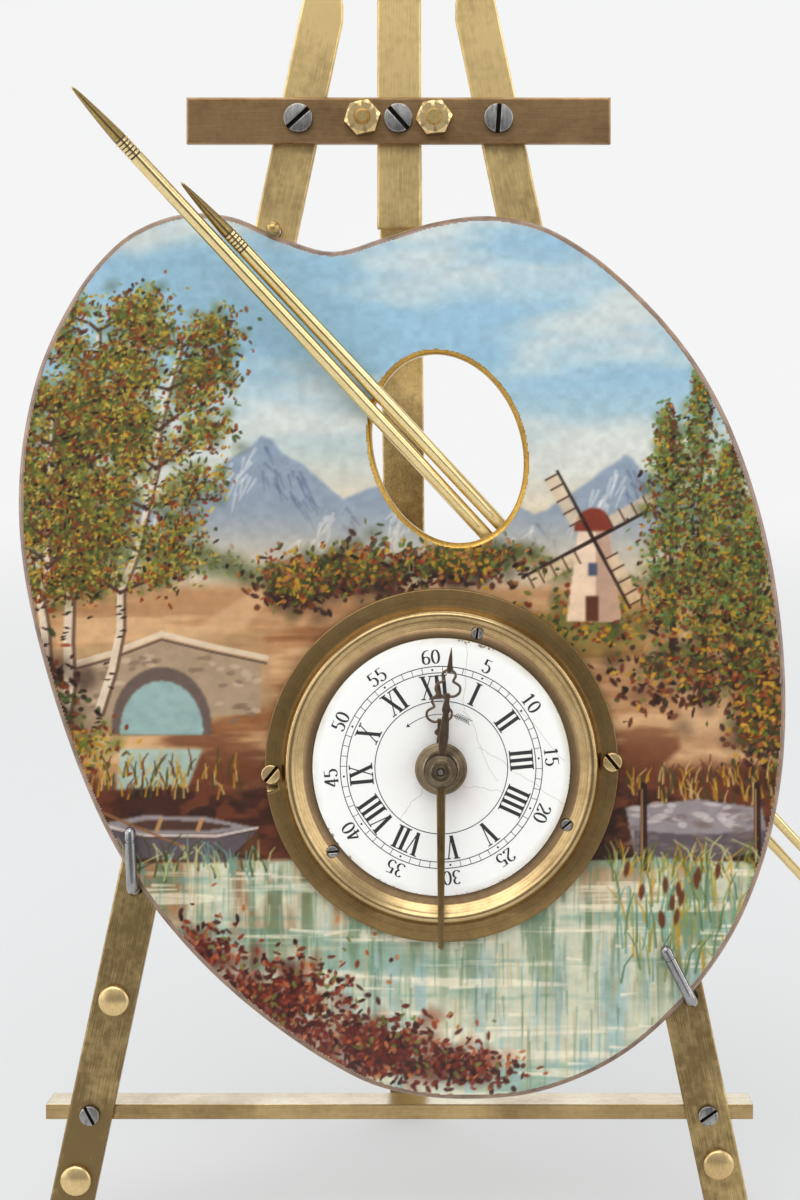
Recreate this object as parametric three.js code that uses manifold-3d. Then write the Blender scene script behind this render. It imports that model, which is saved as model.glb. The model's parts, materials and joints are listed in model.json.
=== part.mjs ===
// A painter's palette clock: a painted porcelain palette with a drum movement, on a folding brass easel,
// with two brass paint brushes put through the thumb hole.
import * as THREE from 'three';
import { mergeVertices } from 'three/addons/utils/BufferGeometryUtils.js';
import Module from 'manifold-3d';

const wasm = await Module();
wasm.setup();

// Driving dimensions: lengths in millimetres, angles in degrees. The easel has a leaning frame of its own:
// x to the right, y backwards from the front faces of the legs, z up along the easel from the front feet.

// Fits
const SEAT = 0.3; // gap between pieces that rest on each other
const RUN = 0.2; // gap round a turning shaft

// Easel frame
const LEAN = 8;
const STRIP_T = 3;
const STRIP_EDGE = 0.35;
const LEG_WIDTH = 9.6;
const LEG_SPLAY = 11.9;
const FOOT_X = 75;
const LEG_TOP = 289;
const LEG_SHOULDER = 15;
const MAST_WIDTH = 9.7;
const MAST_BOTTOM = 227;
const MAST_TOP = 298;
const MAST_POINT = 5;
const BAR_LENGTH = 93.8;
const BAR_HEIGHT = 10.2;
const BAR_Z = 250.6;
const BASE_LENGTH = 158;
const BASE_DEPTH = 11.5;
const BASE_T = 3.3;
const BASE_Z = 30;

// Rear leg and its hinge
const REAR_ANGLE = 17.6;
const REAR_HEEL = 5.5;
const KNUCKLE_R = 3;
const HINGE_PIN_R = 1.25;
const HINGE_DROP = 1.6; // below the middle of the top crossbar
const BRACKET_T = 2.2;
const BRACKET_WIDTH = 24;
const BRACKET_HEIGHT = 8.6;
const EAR_T = 1.8;
const STUD_X = 7.9;
const STUD_R = 1.9;
const STUD_TIP = 0.7;

// Fasteners
const BAR_SCREW = { headR: 3.2, headH: 1.7, shankR: 1.5, slot: 0.9 };
const BASE_SCREW = { headR: 2.2, headH: 1.1, shankR: 1, slot: 0.6 };
const BEZEL_SCREW = { headR: 2.1, headH: 1.5, shankR: 1, slot: 0.75 };
const DIAL_SCREW = { headR: 1.3, headH: 0.7, shankR: 0.6, slot: 0.4 };
const FASTENER_RISE = 0.4; // above the middle of the top crossbar
const NUT_FLATS = 7.1;
const NUT_T = 3.2;
const BUTTON_R = 3.4;
const BUTTON_DOME = 1.6;
const BUTTON_SHANK_R = 1.4;
const LEFT_BUTTONS = [55.5, 15.6];
const RIGHT_BUTTON = 19.1;

// Palette and what holds it
const PALETTE_T = 6;
const PALETTE_ROUND = 1.6;
const PALETTE_STEPS = 50;
const THUMB_X = 10.9;
const THUMB_Z = 178;
const THUMB_LONG = 21.2; // half the long axis
const THUMB_SHORT = 16.2; // half the short axis
const THUMB_TURN = 18;
const HOOK_R = 1.25;
const HOOK_FINGER = 13;
const HOOK_BEND = 2;
const LEFT_HOOK = { turn: 2, out: 0.3 }; // lean of the finger, and how far out of the leg's middle line
const RIGHT_HOOK = { turn: 27, out: 1.5 };
const HOOK_NUT_R = 2.6;
const HOOK_NUT_T = 2;
const BALL_R = 1.6;
const BALL_PIN_R = 0.8;

// Outline of the palette as seen from the front, from the notch clockwise, in the easel's x and z.
const PALETTE_OUTLINE = [
  [-14.5, 221.4], [-0.2, 225.4], [15.2, 229.2], [31.7, 227], [49.8, 214.9], [67.9, 193.3],
  [80.4, 161.6], [85.3, 124], [82.1, 93], [71, 66.6], [50.4, 45.1], [31, 36.4], [15.6, 34.8],
  [-3.2, 37.1], [-21.5, 46.8], [-43.5, 65], [-61.3, 88.3], [-74.6, 119.4], [-83, 154.9],
  [-82.7, 179.3], [-76.8, 201.3], [-63.3, 222], [-53, 228], [-41.2, 230.3], [-30.2, 226.2],
];

// Brushes: in-plane direction of the tips, and each axis's offset from the middle of the thumb hole
const BRUSH_ANGLE = 132.6;
const BRUSH_R = 1.7;
const BRUSH_GAP = 0.4;
const BRUSH_TAIL = 138;
const BRUSH_END_R = 1;
const BRUSH_POINT = 15;
const BRUSH_NECK_R = 1.3;
const FERRULE_LENGTH = 4;
const FERRULE_R = 1.5;
const LONG_BRUSH = { reach: 114.4, offset: 6.7, turn: 0 };
const SHORT_BRUSH = { reach: 83.3, offset: 2.9, turn: 0.4 };

// Clock front
const DIAL_X = 9.6;
const DIAL_Z = 108.5;
const DIAL_R = 28.1;
const DIAL_T = 1.2;
const DIAL_HOLE_R = 3.2;
const DIAL_DOME = 0.5;
const BEZEL_R = 38.8;
const BEZEL_FLANGE_T = 1.5;
const CREST_R = 33.2;
const CREST_WIDTH = 3;
const CREST_HEIGHT = 3.8; // above the flange
const INNER_RING_RISE = 2.2; // above the flange
const INNER_RING_T = 1.2;
const DIAL_SCREW_R = 30.1;
const DIAL_SCREW_ANGLES = { top: 75, right: -25, left: 218 };
const BEZEL_SCREW_R = 37.4;
const BEZEL_SCREW_ANGLES = { left: 182.8, right: 1.3 };
const BEZEL_NOTCH = 5.2; // width of the left notch in the flange

// Drum case
const DRUM_R = 31.6;
const DRUM_WALL = 1;
const DRUM_LENGTH = 36;
const DRUM_LIP_R = 26.5;
const DRUM_LIP_T = 1.2;
const DIAL_SEAT_WIDTH = 1.8;
const COVER_T = 1.2;
const COVER_LIP = 2.3;

// Movement
const PLATE_R = 29.6;
const PLATE_T = 1.6;
const PLATE_SPACE = 16.8;
const PILLAR_R = 2;
const PILLAR_CIRCLE = 26;
const PILLAR_ANGLES = [35, 130, 245, 285];
const ARBOR_R = 0.9;
const WHEEL_T = 1;
const WHEEL_HUB_R = 3;
const WHEEL_SPOKES = 3;
const CANNON = { teeth: 8, module: 0.75 };
const MINUTE_WHEEL = { teeth: 24, module: 0.75 };
const MINUTE_PINION = { teeth: 6, module: 0.8 };
const HOUR_WHEEL = { teeth: 24, module: 0.8 };
const CENTRE_PINION = { teeth: 8, module: 0.75 };
const GREAT_WHEEL = { teeth: 32, module: 0.75 };
const CENTRE_WHEEL = { teeth: 32, module: 0.75 };
const THIRD_PINION = { teeth: 8, module: 0.75 };
const THIRD_WHEEL = { teeth: 24, module: 0.75 };
const MINUTE_WHEEL_ANGLE = -60;
const BARREL_ANGLE = 205;
const THIRD_ANGLE = 80;
const BARREL_R = 10.5;
const BARREL_LENGTH = 9.3;
const GREAT_WHEEL_T = 1.8;
const PINION_OVERLAP = 0.5; // how far a pinion stands past its wheel
const WINDING_ARBOR_R = 1.5;
const ALARM_BARREL_R = 9;
const ALARM_BARREL_LENGTH = 10.8;
const ALARM_BARREL_ANGLE = -35;
const ALARM_BARREL_OFFSET = 16;
const THIRD_WHEEL_Y = 7.4; // behind the front plate
const CENTRE_WHEEL_Y = 14.4; // behind the front plate

// Hands
const HOUR_PIPE_R = 2.6;
const HOUR_PIPE_BORE = 1.9;
const CANNON_PIPE_R = 1.7;
const HAND_T = 0.8;
const HOUR_HAND = {
  length: 19.7, stem: 1.6, lobes: 11.6, lobeR: 1.6, crown: 13.8, crownR: 1.2, bead: 7.6,
};
const MINUTE_HAND = {
  length: 26.5, stem: 1.9, lobes: 17.6, lobeR: 1.55, crown: 19.7, crownR: 1.15, bead: 10,
};
const HAND_WIRE = 0.6; // width of the open loops
const HOUR_HAND_GAP = 1.2; // in front of the dial
const ALARM_LENGTH = 39;
const ALARM_WIDTH = 2;
const ALARM_DISC_R = 5.65;
const ALARM_DISC_T = 1.2;
const ALARM_BOSS_R = 4;
const ALARM_BOSS = 1.8;
const COLLET_R = 3.4;
const COLLET_STEP_R = 2.2;
const COLLET_LENGTH = 4.4;
const ARBOR_TIP_R = 0.6;
const MINUTE_ANGLE = 5;
const HOUR_ANGLE = -2;

// Back of the movement
const KNOB_R = 4;
const KNOB_T = 3;
const KEY_HUB_R = 2.6;
const KEY_HUB = 5;
const KEY_RING_R = 4.2;
const KEY_RING_HOLE = 2.2;
const KEY_T = 1.6;
const PLATFORM = { width: 20, height: 13, thickness: 3, z: 15 };
const BALANCE_R = 6.4;
const BALANCE_RIM = 1;
const BALANCE_STAFF_R = 0.5;
const BALANCE_GAP = 2; // above the platform
const COCK_RISE = 4.2; // above the platform
const COCK_T = 1.2;
const COCK_WIDTH = 2.6;
const BELL = { x: 0, z: -17, radius: 9.5, depth: 6, wall: 0.8, gap: 3.4 };
const POST_R = 1.2;
const HAMMER = { pivotX: 17.5, pivotZ: -20.5, headX: 11.8, headZ: -18, headR: 1.6, arm: 1.6, thickness: 2 };

// Seams that follow from the dimensions, measured along y
const PALETTE_BACK = -SEAT;
const PALETTE_FRONT = PALETTE_BACK - PALETTE_T;
const FLANGE_BACK = PALETTE_FRONT - SEAT;
const FLANGE_FRONT = FLANGE_BACK - BEZEL_FLANGE_T;
const INNER_RING_FRONT = FLANGE_FRONT - INNER_RING_RISE;
const INNER_RING_BACK = INNER_RING_FRONT + INNER_RING_T;
const DRUM_FRONT = INNER_RING_BACK + SEAT;
const DRUM_BACK = DRUM_FRONT + DRUM_LENGTH;
const DIAL_SEAT = INNER_RING_FRONT - SEAT;
const DIAL_BACK = DIAL_SEAT - SEAT;
const DIAL_FRONT = DIAL_BACK - DIAL_T;
const LIP_BACK = DRUM_FRONT + DRUM_LIP_T;
const FRONT_PLATE = LIP_BACK + SEAT;
const TRAIN_FRONT = FRONT_PLATE + PLATE_T;
const BACK_PLATE = TRAIN_FRONT + PLATE_SPACE;
const TRAIN_BACK = BACK_PLATE + PLATE_T;
const COVER_BACK = DRUM_BACK + SEAT + COVER_T;
const MOTION_Y = FRONT_PLATE - SEAT - WHEEL_T;
const HOUR_WHEEL_Y = MOTION_Y - PINION_OVERLAP - WHEEL_T;
const HOUR_HAND_Y = DIAL_FRONT - DIAL_DOME - HOUR_HAND_GAP - HAND_T;
const ALARM_Y = HOUR_HAND_Y - SEAT - ALARM_DISC_T;
const MINUTE_HAND_Y = ALARM_Y - ALARM_BOSS - SEAT - HAND_T;
const COLLET_FRONT = MINUTE_HAND_Y + HAND_T - COLLET_LENGTH;
const BRACKET_FRONT = STRIP_T + SEAT;
const BRACKET_BACK = BRACKET_FRONT + BRACKET_T;
const FASTENER_Z = BAR_Z + FASTENER_RISE;
const HINGE_Z = BAR_Z - HINGE_DROP;

const rad = THREE.MathUtils.degToRad;
const SLACK = 1; // how far cutting tools stand clear of what they cut
const DRUM_SIDES = 24; // facets of the drum and of the hole that it goes through

// Finishes
function finish(color, roughness, metalness) {
  return new THREE.MeshStandardMaterial({ color, roughness, metalness });
}
const AGED_BRASS = finish(0xa88d55, 0.42, 1);
const DARK_BRASS = finish(0x8a7146, 0.45, 1);
const BRIGHT_BRASS = finish(0xd0b56e, 0.25, 1);
const STEEL = finish(0x8f9296, 0.35, 1);
const BRONZE = finish(0x57493a, 0.5, 1);
const PORCELAIN = finish(0xe6dfd2, 0.15, 0);
const ENAMEL = finish(0xf4f2ee, 0.12, 0);

// Signed volume of a closed geometry, which is negative when its faces point inwards.
function signedVolume(geometry) {
  const points = geometry.getAttribute('position');
  const index = geometry.index;
  const corner = (i) => new THREE.Vector3().fromBufferAttribute(points, index ? index.getX(i) : i);
  let volume = 0;
  for (let i = 0; i < (index ? index.count : points.count); i += 3) {
    volume += corner(i).dot(corner(i + 1).cross(corner(i + 2))) / 6;
  }
  return volume;
}

// Turn the faces of a closed geometry outwards, with its shared corners merged.
function closed(geometry) {
  geometry.deleteAttribute('normal');
  geometry.deleteAttribute('uv');
  const merged = mergeVertices(geometry, 1e-4);
  if (signedVolume(merged) < 0) {
    merged.setIndex(Array.from(merged.index.array).reverse());
  }
  return merged;
}

function solid(geometry) {
  const merged = closed(geometry.clone());
  const vertProperties = new Float32Array(merged.getAttribute('position').array);
  const triVerts = new Uint32Array(merged.index.array);
  return new wasm.Manifold(new wasm.Mesh({ numProp: 3, vertProperties, triVerts }));
}

function geometryOf(body) {
  const mesh = body.getMesh();
  const geometry = new THREE.BufferGeometry();
  geometry.setAttribute('position', new THREE.BufferAttribute(new Float32Array(mesh.vertProperties), 3));
  geometry.setIndex(Array.from(mesh.triVerts));
  return geometry;
}

function join(first, ...others) {
  return geometryOf(others.reduce((body, other) => body.add(solid(other)), solid(first)));
}

function cut(first, ...tools) {
  return geometryOf(tools.reduce((body, tool) => body.subtract(solid(tool)), solid(first)));
}

// A turned piece about the y axis, from a profile of radius and y that starts and ends on the axis.
function turned(profile, sides = 16) {
  return closed(new THREE.LatheGeometry(profile.map(([r, y]) => new THREE.Vector2(r, y)), sides));
}

// A turned ring: the profile closes on itself.
function turnedRing(profile, sides = 16) {
  return turned([...profile, profile[0]], sides);
}

// A rod along y, and a tube along y.
const rod = (r, y0, y1, sides = 10) => turned([[0, y0], [r, y0], [r, y1], [0, y1]], sides);
const tube = (r, bore, y0, y1, sides = 10) => turnedRing([[bore, y0], [r, y0], [r, y1], [bore, y1]], sides);

// A shape whose rim runs counter-clockwise and whose holes run clockwise, whichever way they were drawn.
function sorted(shape, curveSegments) {
  const drawn = shape.extractPoints(curveSegments);
  const turn = (points, clockwise) => {
    return THREE.ShapeUtils.isClockWise(points) === clockwise ? points : points.reverse();
  };
  const tidy = new THREE.Shape(turn(drawn.shape, false));
  tidy.holes = drawn.holes.map((hole) => new THREE.Path(turn(hole, true)));
  return tidy;
}

// A flat piece: a shape in x and z, with its front face at y = front.
function plate(shape, thickness, front, { edge = 0, edgeSteps = 1, curveSegments = 5 } = {}) {
  const geometry = new THREE.ExtrudeGeometry(sorted(shape, curveSegments), {
    depth: thickness - 2 * edge,
    steps: 1,
    bevelEnabled: edge > 0,
    bevelThickness: edge,
    bevelSize: edge,
    bevelOffset: -edge,
    bevelSegments: edgeSteps,
  });
  geometry.rotateX(Math.PI / 2);
  geometry.translate(0, front + thickness - edge, 0);
  return closed(geometry);
}

function polygon(points) {
  return new THREE.Shape(points.map(([x, z]) => new THREE.Vector2(x, z)));
}

function rectangle(x0, x1, z0, z1) {
  return polygon([[x0, z0], [x1, z0], [x1, z1], [x0, z1]]);
}

function circle(x, z, r, sides) {
  const points = [];
  for (let i = 0; i < sides; i += 1) {
    const [dx, dz] = polar(r, (i * 360) / sides);
    points.push([x + dx, z + dz]);
  }
  return polygon(points);
}

// A hole round a shaft: its flats lie at the radius, so that the shaft clears them however it turns.
const round = (x, z, r, sides = 8) => circle(x, z, r / Math.cos(Math.PI / sides), sides);

function box(x0, x1, y0, y1, z0, z1) {
  const geometry = new THREE.BoxGeometry(x1 - x0, y1 - y0, z1 - z0);
  return geometry.translate((x0 + x1) / 2, (y0 + y1) / 2, (z0 + z1) / 2);
}

function polar(radius, degrees) {
  return [radius * Math.cos(rad(degrees)), radius * Math.sin(rad(degrees))];
}

function add(parent, name, geometry, material, x = 0, y = 0, z = 0) {
  const mesh = new THREE.Mesh(geometry, material);
  mesh.name = name;
  mesh.position.set(x, y, z);
  parent.add(mesh);
  return mesh;
}

function group(parent, name, x = 0, y = 0, z = 0) {
  const child = new THREE.Group();
  child.name = name;
  child.position.set(x, y, z);
  parent.add(child);
  return child;
}

// A slotted screw: the head's underside at y = 0, its face forwards and its shank backwards.
function screw({ headR, headH, shankR, slot }, shank, slotAngle) {
  const profile = [[0, -headH], [headR, -headH], [headR, 0], [shankR, 0], [shankR, shank], [0, shank]];
  const groove = box(-headR * 2, headR * 2, -headH - SLACK, -headH / 2, -slot / 2, slot / 2);
  groove.rotateY(-rad(slotAngle));
  return cut(turned(profile, 8), groove);
}

// A wheel's outline: straight-flanked teeth with rounded-off play, one tooth centred on the x axis.
function toothed({ teeth, module }) {
  const pitchR = (teeth * module) / 2;
  const tip = pitchR + 0.75 * module;
  const root = pitchR - 1.05 * module;
  const pitch = (2 * Math.PI) / teeth;
  const points = [];
  for (let i = 0; i < teeth; i += 1) {
    for (const [radius, share] of [[root, -0.26], [tip, -0.1], [tip, 0.1], [root, 0.26]]) {
      const angle = (i + share) * pitch;
      points.push([radius * Math.cos(angle), radius * Math.sin(angle)]);
    }
  }
  return polygon(points);
}

// The crossings of a wheel: windows between its spokes.
function crossings(shape, hubR, rimR, spokes, spoke) {
  for (let i = 0; i < spokes; i += 1) {
    const middle = ((i + 0.5) * 2 * Math.PI) / spokes;
    const outer = Math.PI / spokes - spoke / 2 / rimR;
    const inner = Math.PI / spokes - spoke / 2 / hubR;
    const window = new THREE.Path();
    window.absarc(0, 0, rimR, middle - outer, middle + outer, false);
    window.absarc(0, 0, hubR, middle + inner, middle - inner, true);
    window.closePath();
    shape.holes.push(window);
  }
  return shape;
}

const pitchRadius = ({ teeth, module }) => (teeth * module) / 2;
const meshDistance = (a, b) => pitchRadius(a) + pitchRadius(b);

// Turns that put a tooth of the driver and a gap of the follower on their line of centres, in degrees.
const driverTurn = (lineAngle) => lineAngle;
const followerTurn = (lineAngle, { teeth }) => lineAngle + 180 + 180 / teeth;

function spun(geometry, degrees) {
  return geometry.rotateY(-rad(degrees));
}

const clock = new THREE.Group();
clock.name = 'palette_clock';
const stand = group(clock, 'stand');
const easel = group(stand, 'easel');
easel.rotation.x = -rad(LEAN);

// Palette outline as a closed smooth curve
const outlineCurve = new THREE.CatmullRomCurve3(
  PALETTE_OUTLINE.map(([x, z]) => new THREE.Vector3(x, z, 0)), true, 'centripetal',
);
const outlinePoints = outlineCurve.getSpacedPoints(PALETTE_STEPS).slice(0, -1);
const outline = outlinePoints.map(({ x, y }) => new THREE.Vector2(x, y));

function distanceToOutline(point) {
  const place = new THREE.Vector3(point.x, point.y, 0);
  let least = Infinity;
  outline.forEach((start, i) => {
    const edge = new THREE.Line3(
      new THREE.Vector3(start.x, start.y, 0),
      new THREE.Vector3(...outline[(i + 1) % outline.length], 0),
    );
    const nearest = edge.closestPointToPoint(place, true, new THREE.Vector3());
    least = Math.min(least, nearest.distanceTo(place));
  });
  return least;
}

// A point on a leg's middle line, and where a pin on that line first meets the palette's edge.
const legLength = LEG_TOP / Math.cos(rad(LEG_SPLAY));
const alongLeg = (z) => z / Math.cos(rad(LEG_SPLAY));

function legPoint(side, along, out = 0) {
  const x = side * (FOOT_X - along * Math.sin(rad(LEG_SPLAY)) + out * Math.cos(rad(LEG_SPLAY)));
  return new THREE.Vector2(x, along * Math.cos(rad(LEG_SPLAY)) + out * Math.sin(rad(LEG_SPLAY)));
}

function pinSeat(side, pinR, out, from, step) {
  let along = from;
  while (distanceToOutline(legPoint(side, along, out)) > pinR + SEAT) {
    along += step;
  }
  return along;
}

const SEARCH_STEP = 0.02;
const leftHookAlong = pinSeat(-1, HOOK_R, LEFT_HOOK.out, 0, SEARCH_STEP);
const rightHookAlong = pinSeat(1, HOOK_R, RIGHT_HOOK.out, 0, SEARCH_STEP);
const ballAlong = pinSeat(-1, BALL_PIN_R, 0, legLength, -SEARCH_STEP);

// Cut away what lies below the floor, in the frame of the group that holds the piece.
function standOnFloor(geometry, holder) {
  clock.updateMatrixWorld(true);
  const reach = 2 * FOOT_X;
  const floor = box(-reach, reach, -reach, reach, -reach, 0);
  const placed = geometry.clone().applyMatrix4(holder.matrixWorld);
  return cut(placed, floor).applyMatrix4(holder.matrixWorld.clone().invert());
}

// Front legs: flat strips, rounded off on the inner side of their tops
function legShape(side, holes) {
  const half = (LEG_WIDTH / 2) * side;
  const shape = new THREE.Shape();
  shape.moveTo(-half, -STRIP_T);
  shape.lineTo(half, -STRIP_T);
  shape.lineTo(half, legLength);
  shape.lineTo(half * 0.55, legLength);
  shape.quadraticCurveTo(-half * 0.85, legLength - LEG_SHOULDER * 0.55, -half, legLength - LEG_SHOULDER);
  shape.closePath();
  holes.forEach(([along, r, out = 0]) => shape.holes.push(round(side * out, along, r + RUN)));
  return shape;
}

function leg(side, name, holes) {
  const holder = group(easel, `${name}_frame`, side * FOOT_X, 0, 0);
  holder.rotation.y = -side * rad(LEG_SPLAY);
  const strip = plate(legShape(side, holes), STRIP_T, 0, { edge: STRIP_EDGE, curveSegments: 4 });
  add(holder, name, standOnFloor(strip, holder), AGED_BRASS);
  return holder;
}

const barScrewAlong = alongLeg(FASTENER_Z);
const baseScrewAlong = alongLeg(BASE_Z);
const leftLeg = leg(-1, 'left_leg', [
  [barScrewAlong, BAR_SCREW.shankR], [baseScrewAlong, BASE_SCREW.shankR], [ballAlong, BALL_PIN_R],
  [leftHookAlong, HOOK_R, LEFT_HOOK.out], ...LEFT_BUTTONS.map((z) => [alongLeg(z), BUTTON_SHANK_R]),
]);
const rightLeg = leg(1, 'right_leg', [
  [barScrewAlong, BAR_SCREW.shankR], [baseScrewAlong, BASE_SCREW.shankR],
  [rightHookAlong, HOOK_R, RIGHT_HOOK.out], [alongLeg(RIGHT_BUTTON), BUTTON_SHANK_R],
]);

// Mast: a short strip between the legs with a pointed top
const mastHalf = MAST_WIDTH / 2;
const mastShape = polygon([
  [-mastHalf, MAST_BOTTOM], [mastHalf, MAST_BOTTOM], [mastHalf, MAST_TOP - MAST_POINT],
  [0, MAST_TOP], [-mastHalf, MAST_TOP - MAST_POINT],
]);
mastShape.holes.push(round(0, FASTENER_Z, BAR_SCREW.shankR + RUN));
add(easel, 'mast', plate(mastShape, STRIP_T, 0, { edge: STRIP_EDGE }), AGED_BRASS);

// Top crossbar in front of the legs, with its screws and the nuts of the hinge bracket
const barBack = -SEAT;
const barFront = barBack - STRIP_T;
const legTopX = Math.abs(legPoint(1, barScrewAlong).x);
const barShape = rectangle(-BAR_LENGTH / 2, BAR_LENGTH / 2, BAR_Z - BAR_HEIGHT / 2, BAR_Z + BAR_HEIGHT / 2);
for (const [x, r] of [
  [-legTopX, BAR_SCREW.shankR], [0, BAR_SCREW.shankR], [legTopX, BAR_SCREW.shankR],
  [-STUD_X, STUD_R], [STUD_X, STUD_R],
]) {
  barShape.holes.push(round(x, FASTENER_Z, r + RUN));
}
add(easel, 'top_crossbar', plate(barShape, STRIP_T, barFront, { edge: STRIP_EDGE }), DARK_BRASS);
const barScrewY = barFront - SEAT;
const barScrewShank = STRIP_T - barScrewY - SEAT;
for (const [name, x, slotAngle] of [['left', -legTopX, 42], ['centre', 0, 128], ['right', legTopX, 98]]) {
  const geometry = screw(BAR_SCREW, barScrewShank, slotAngle);
  add(easel, `crossbar_screw_${name}`, geometry, STEEL, x, barScrewY, FASTENER_Z);
}

// Bottom crossbar behind the legs, screwed through them into its front edge
const baseFront = STRIP_T + SEAT;
const baseX = Math.abs(legPoint(1, baseScrewAlong).x);
const baseBore = BASE_DEPTH / 2;
const baseBar = box(
  -BASE_LENGTH / 2, BASE_LENGTH / 2, baseFront, baseFront + BASE_DEPTH,
  BASE_Z - BASE_T / 2, BASE_Z + BASE_T / 2,
);
const baseHole = (x) => rod(BASE_SCREW.shankR + RUN, -SLACK, baseBore, 12).translate(x, baseFront, BASE_Z);
add(easel, 'bottom_crossbar', cut(baseBar, baseHole(-baseX), baseHole(baseX)), AGED_BRASS);
const baseShank = baseFront + baseBore;
for (const [holder, name, slotAngle] of [[leftLeg, 'left', 100], [rightLeg, 'right', 35]]) {
  const geometry = screw(BASE_SCREW, baseShank, slotAngle);
  add(holder, `bottom_screw_${name}`, geometry, STEEL, 0, -SEAT, baseScrewAlong);
}

// Domed buttons that plug the spare holes of the legs
function button() {
  const profile = [[0, -BUTTON_DOME]];
  for (const share of [0.5, 0.85]) {
    profile.push([BUTTON_R * share, -BUTTON_DOME * Math.sqrt(1 - share * share)]);
  }
  profile.push([BUTTON_R, 0], [BUTTON_SHANK_R, 0], [BUTTON_SHANK_R, STRIP_T], [0, STRIP_T]);
  return turned(profile, 10);
}
const [upperButton, lowerButton] = LEFT_BUTTONS.map(alongLeg);
add(leftLeg, 'leg_button_left_upper', button(), AGED_BRASS, 0, -SEAT, upperButton);
add(leftLeg, 'leg_button_left_lower', button(), AGED_BRASS, 0, -SEAT, lowerButton);
add(rightLeg, 'leg_button_right', button(), AGED_BRASS, 0, -SEAT, alongLeg(RIGHT_BUTTON));

// Hinge bracket behind the mast: base plate, two ears and the studs that go through the top crossbar
const earInner = LEG_WIDTH / 2 + RUN;
const earOuter = earInner + EAR_T;
const heelReach = REAR_HEEL * Math.sin(rad(REAR_ANGLE)) + (STRIP_T / 2) * Math.cos(rad(REAR_ANGLE));
const HINGE_Y = BRACKET_BACK + SEAT + heelReach;
const nutFront = barFront - SEAT - NUT_T;

function ear(x0) {
  const y0 = BRACKET_BACK - SEAT;
  const block = box(x0, x0 + EAR_T, y0, HINGE_Y, HINGE_Z - KNUCKLE_R, HINGE_Z + KNUCKLE_R);
  const eye = rod(KNUCKLE_R, 0, EAR_T).rotateZ(-Math.PI / 2).translate(x0, HINGE_Y, HINGE_Z);
  const bore = rod(HINGE_PIN_R + RUN, -SLACK, EAR_T + SLACK).rotateZ(-Math.PI / 2);
  return cut(join(block, eye), bore.translate(x0, HINGE_Y, HINGE_Z));
}

function stud(x, tip) {
  const profile = [
    [0, nutFront - tip], [STUD_R - tip / 2, nutFront - tip], [STUD_R, nutFront],
    [STUD_R, BRACKET_BACK - SEAT], [0, BRACKET_BACK - SEAT],
  ];
  return turned(profile, 12).translate(x, 0, FASTENER_Z);
}

const bracketPlate = box(
  -BRACKET_WIDTH / 2, BRACKET_WIDTH / 2, BRACKET_FRONT, BRACKET_BACK,
  FASTENER_Z - BRACKET_HEIGHT / 2, FASTENER_Z + BRACKET_HEIGHT / 2,
);
const bracketPieces = [ear(earInner), ear(-earOuter), stud(-STUD_X, 2 * STUD_TIP), stud(STUD_X, STUD_TIP)];
add(easel, 'hinge_bracket', join(bracketPlate, ...bracketPieces), AGED_BRASS);

const pinHead = HINGE_PIN_R * 1.6;
const pinProfile = [
  [0, -earOuter - EAR_T - SEAT], [pinHead, -earOuter - EAR_T - SEAT], [pinHead, -earOuter - SEAT],
  [HINGE_PIN_R, -earOuter - SEAT], [HINGE_PIN_R, earOuter + SEAT], [0, earOuter + SEAT],
];
add(easel, 'hinge_pin', turned(pinProfile, 14).rotateZ(-Math.PI / 2), STEEL, 0, HINGE_Y, HINGE_Z);

const nutCorner = NUT_FLATS / Math.sqrt(3);
const hexagon = () => polygon([0, 60, 120, 180, 240, 300].map((degrees) => polar(nutCorner, degrees)));
for (const [name, x] of [['left', -STUD_X], ['right', STUD_X]]) {
  const shape = hexagon();
  shape.holes.push(round(0, 0, STUD_R + RUN));
  const nut = plate(shape, NUT_T, 0, { edge: STRIP_EDGE });
  add(easel, `hex_nut_${name}`, nut, AGED_BRASS, x, nutFront, FASTENER_Z);
}

// Rear leg: a strip with a knuckle on the hinge pin and a heel that stops it against the bracket
const rearPivot = group(easel, 'rear_leg_pivot', 0, HINGE_Y, HINGE_Z);
rearPivot.rotation.x = rad(REAR_ANGLE);
const rearShape = rectangle(-LEG_WIDTH / 2, LEG_WIDTH / 2, -HINGE_Z - SLACK, REAR_HEEL);
const rearStrip = plate(rearShape, STRIP_T, -STRIP_T / 2, { edge: STRIP_EDGE });
const knuckle = rod(KNUCKLE_R, -LEG_WIDTH / 2, LEG_WIDTH / 2).rotateZ(-Math.PI / 2);
const knuckleBore = rod(HINGE_PIN_R + RUN, -LEG_WIDTH, LEG_WIDTH).rotateZ(-Math.PI / 2);
const rearLeg = standOnFloor(cut(join(rearStrip, knuckle), knuckleBore), rearPivot);
add(rearPivot, 'rear_leg', rearLeg, AGED_BRASS);

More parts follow.
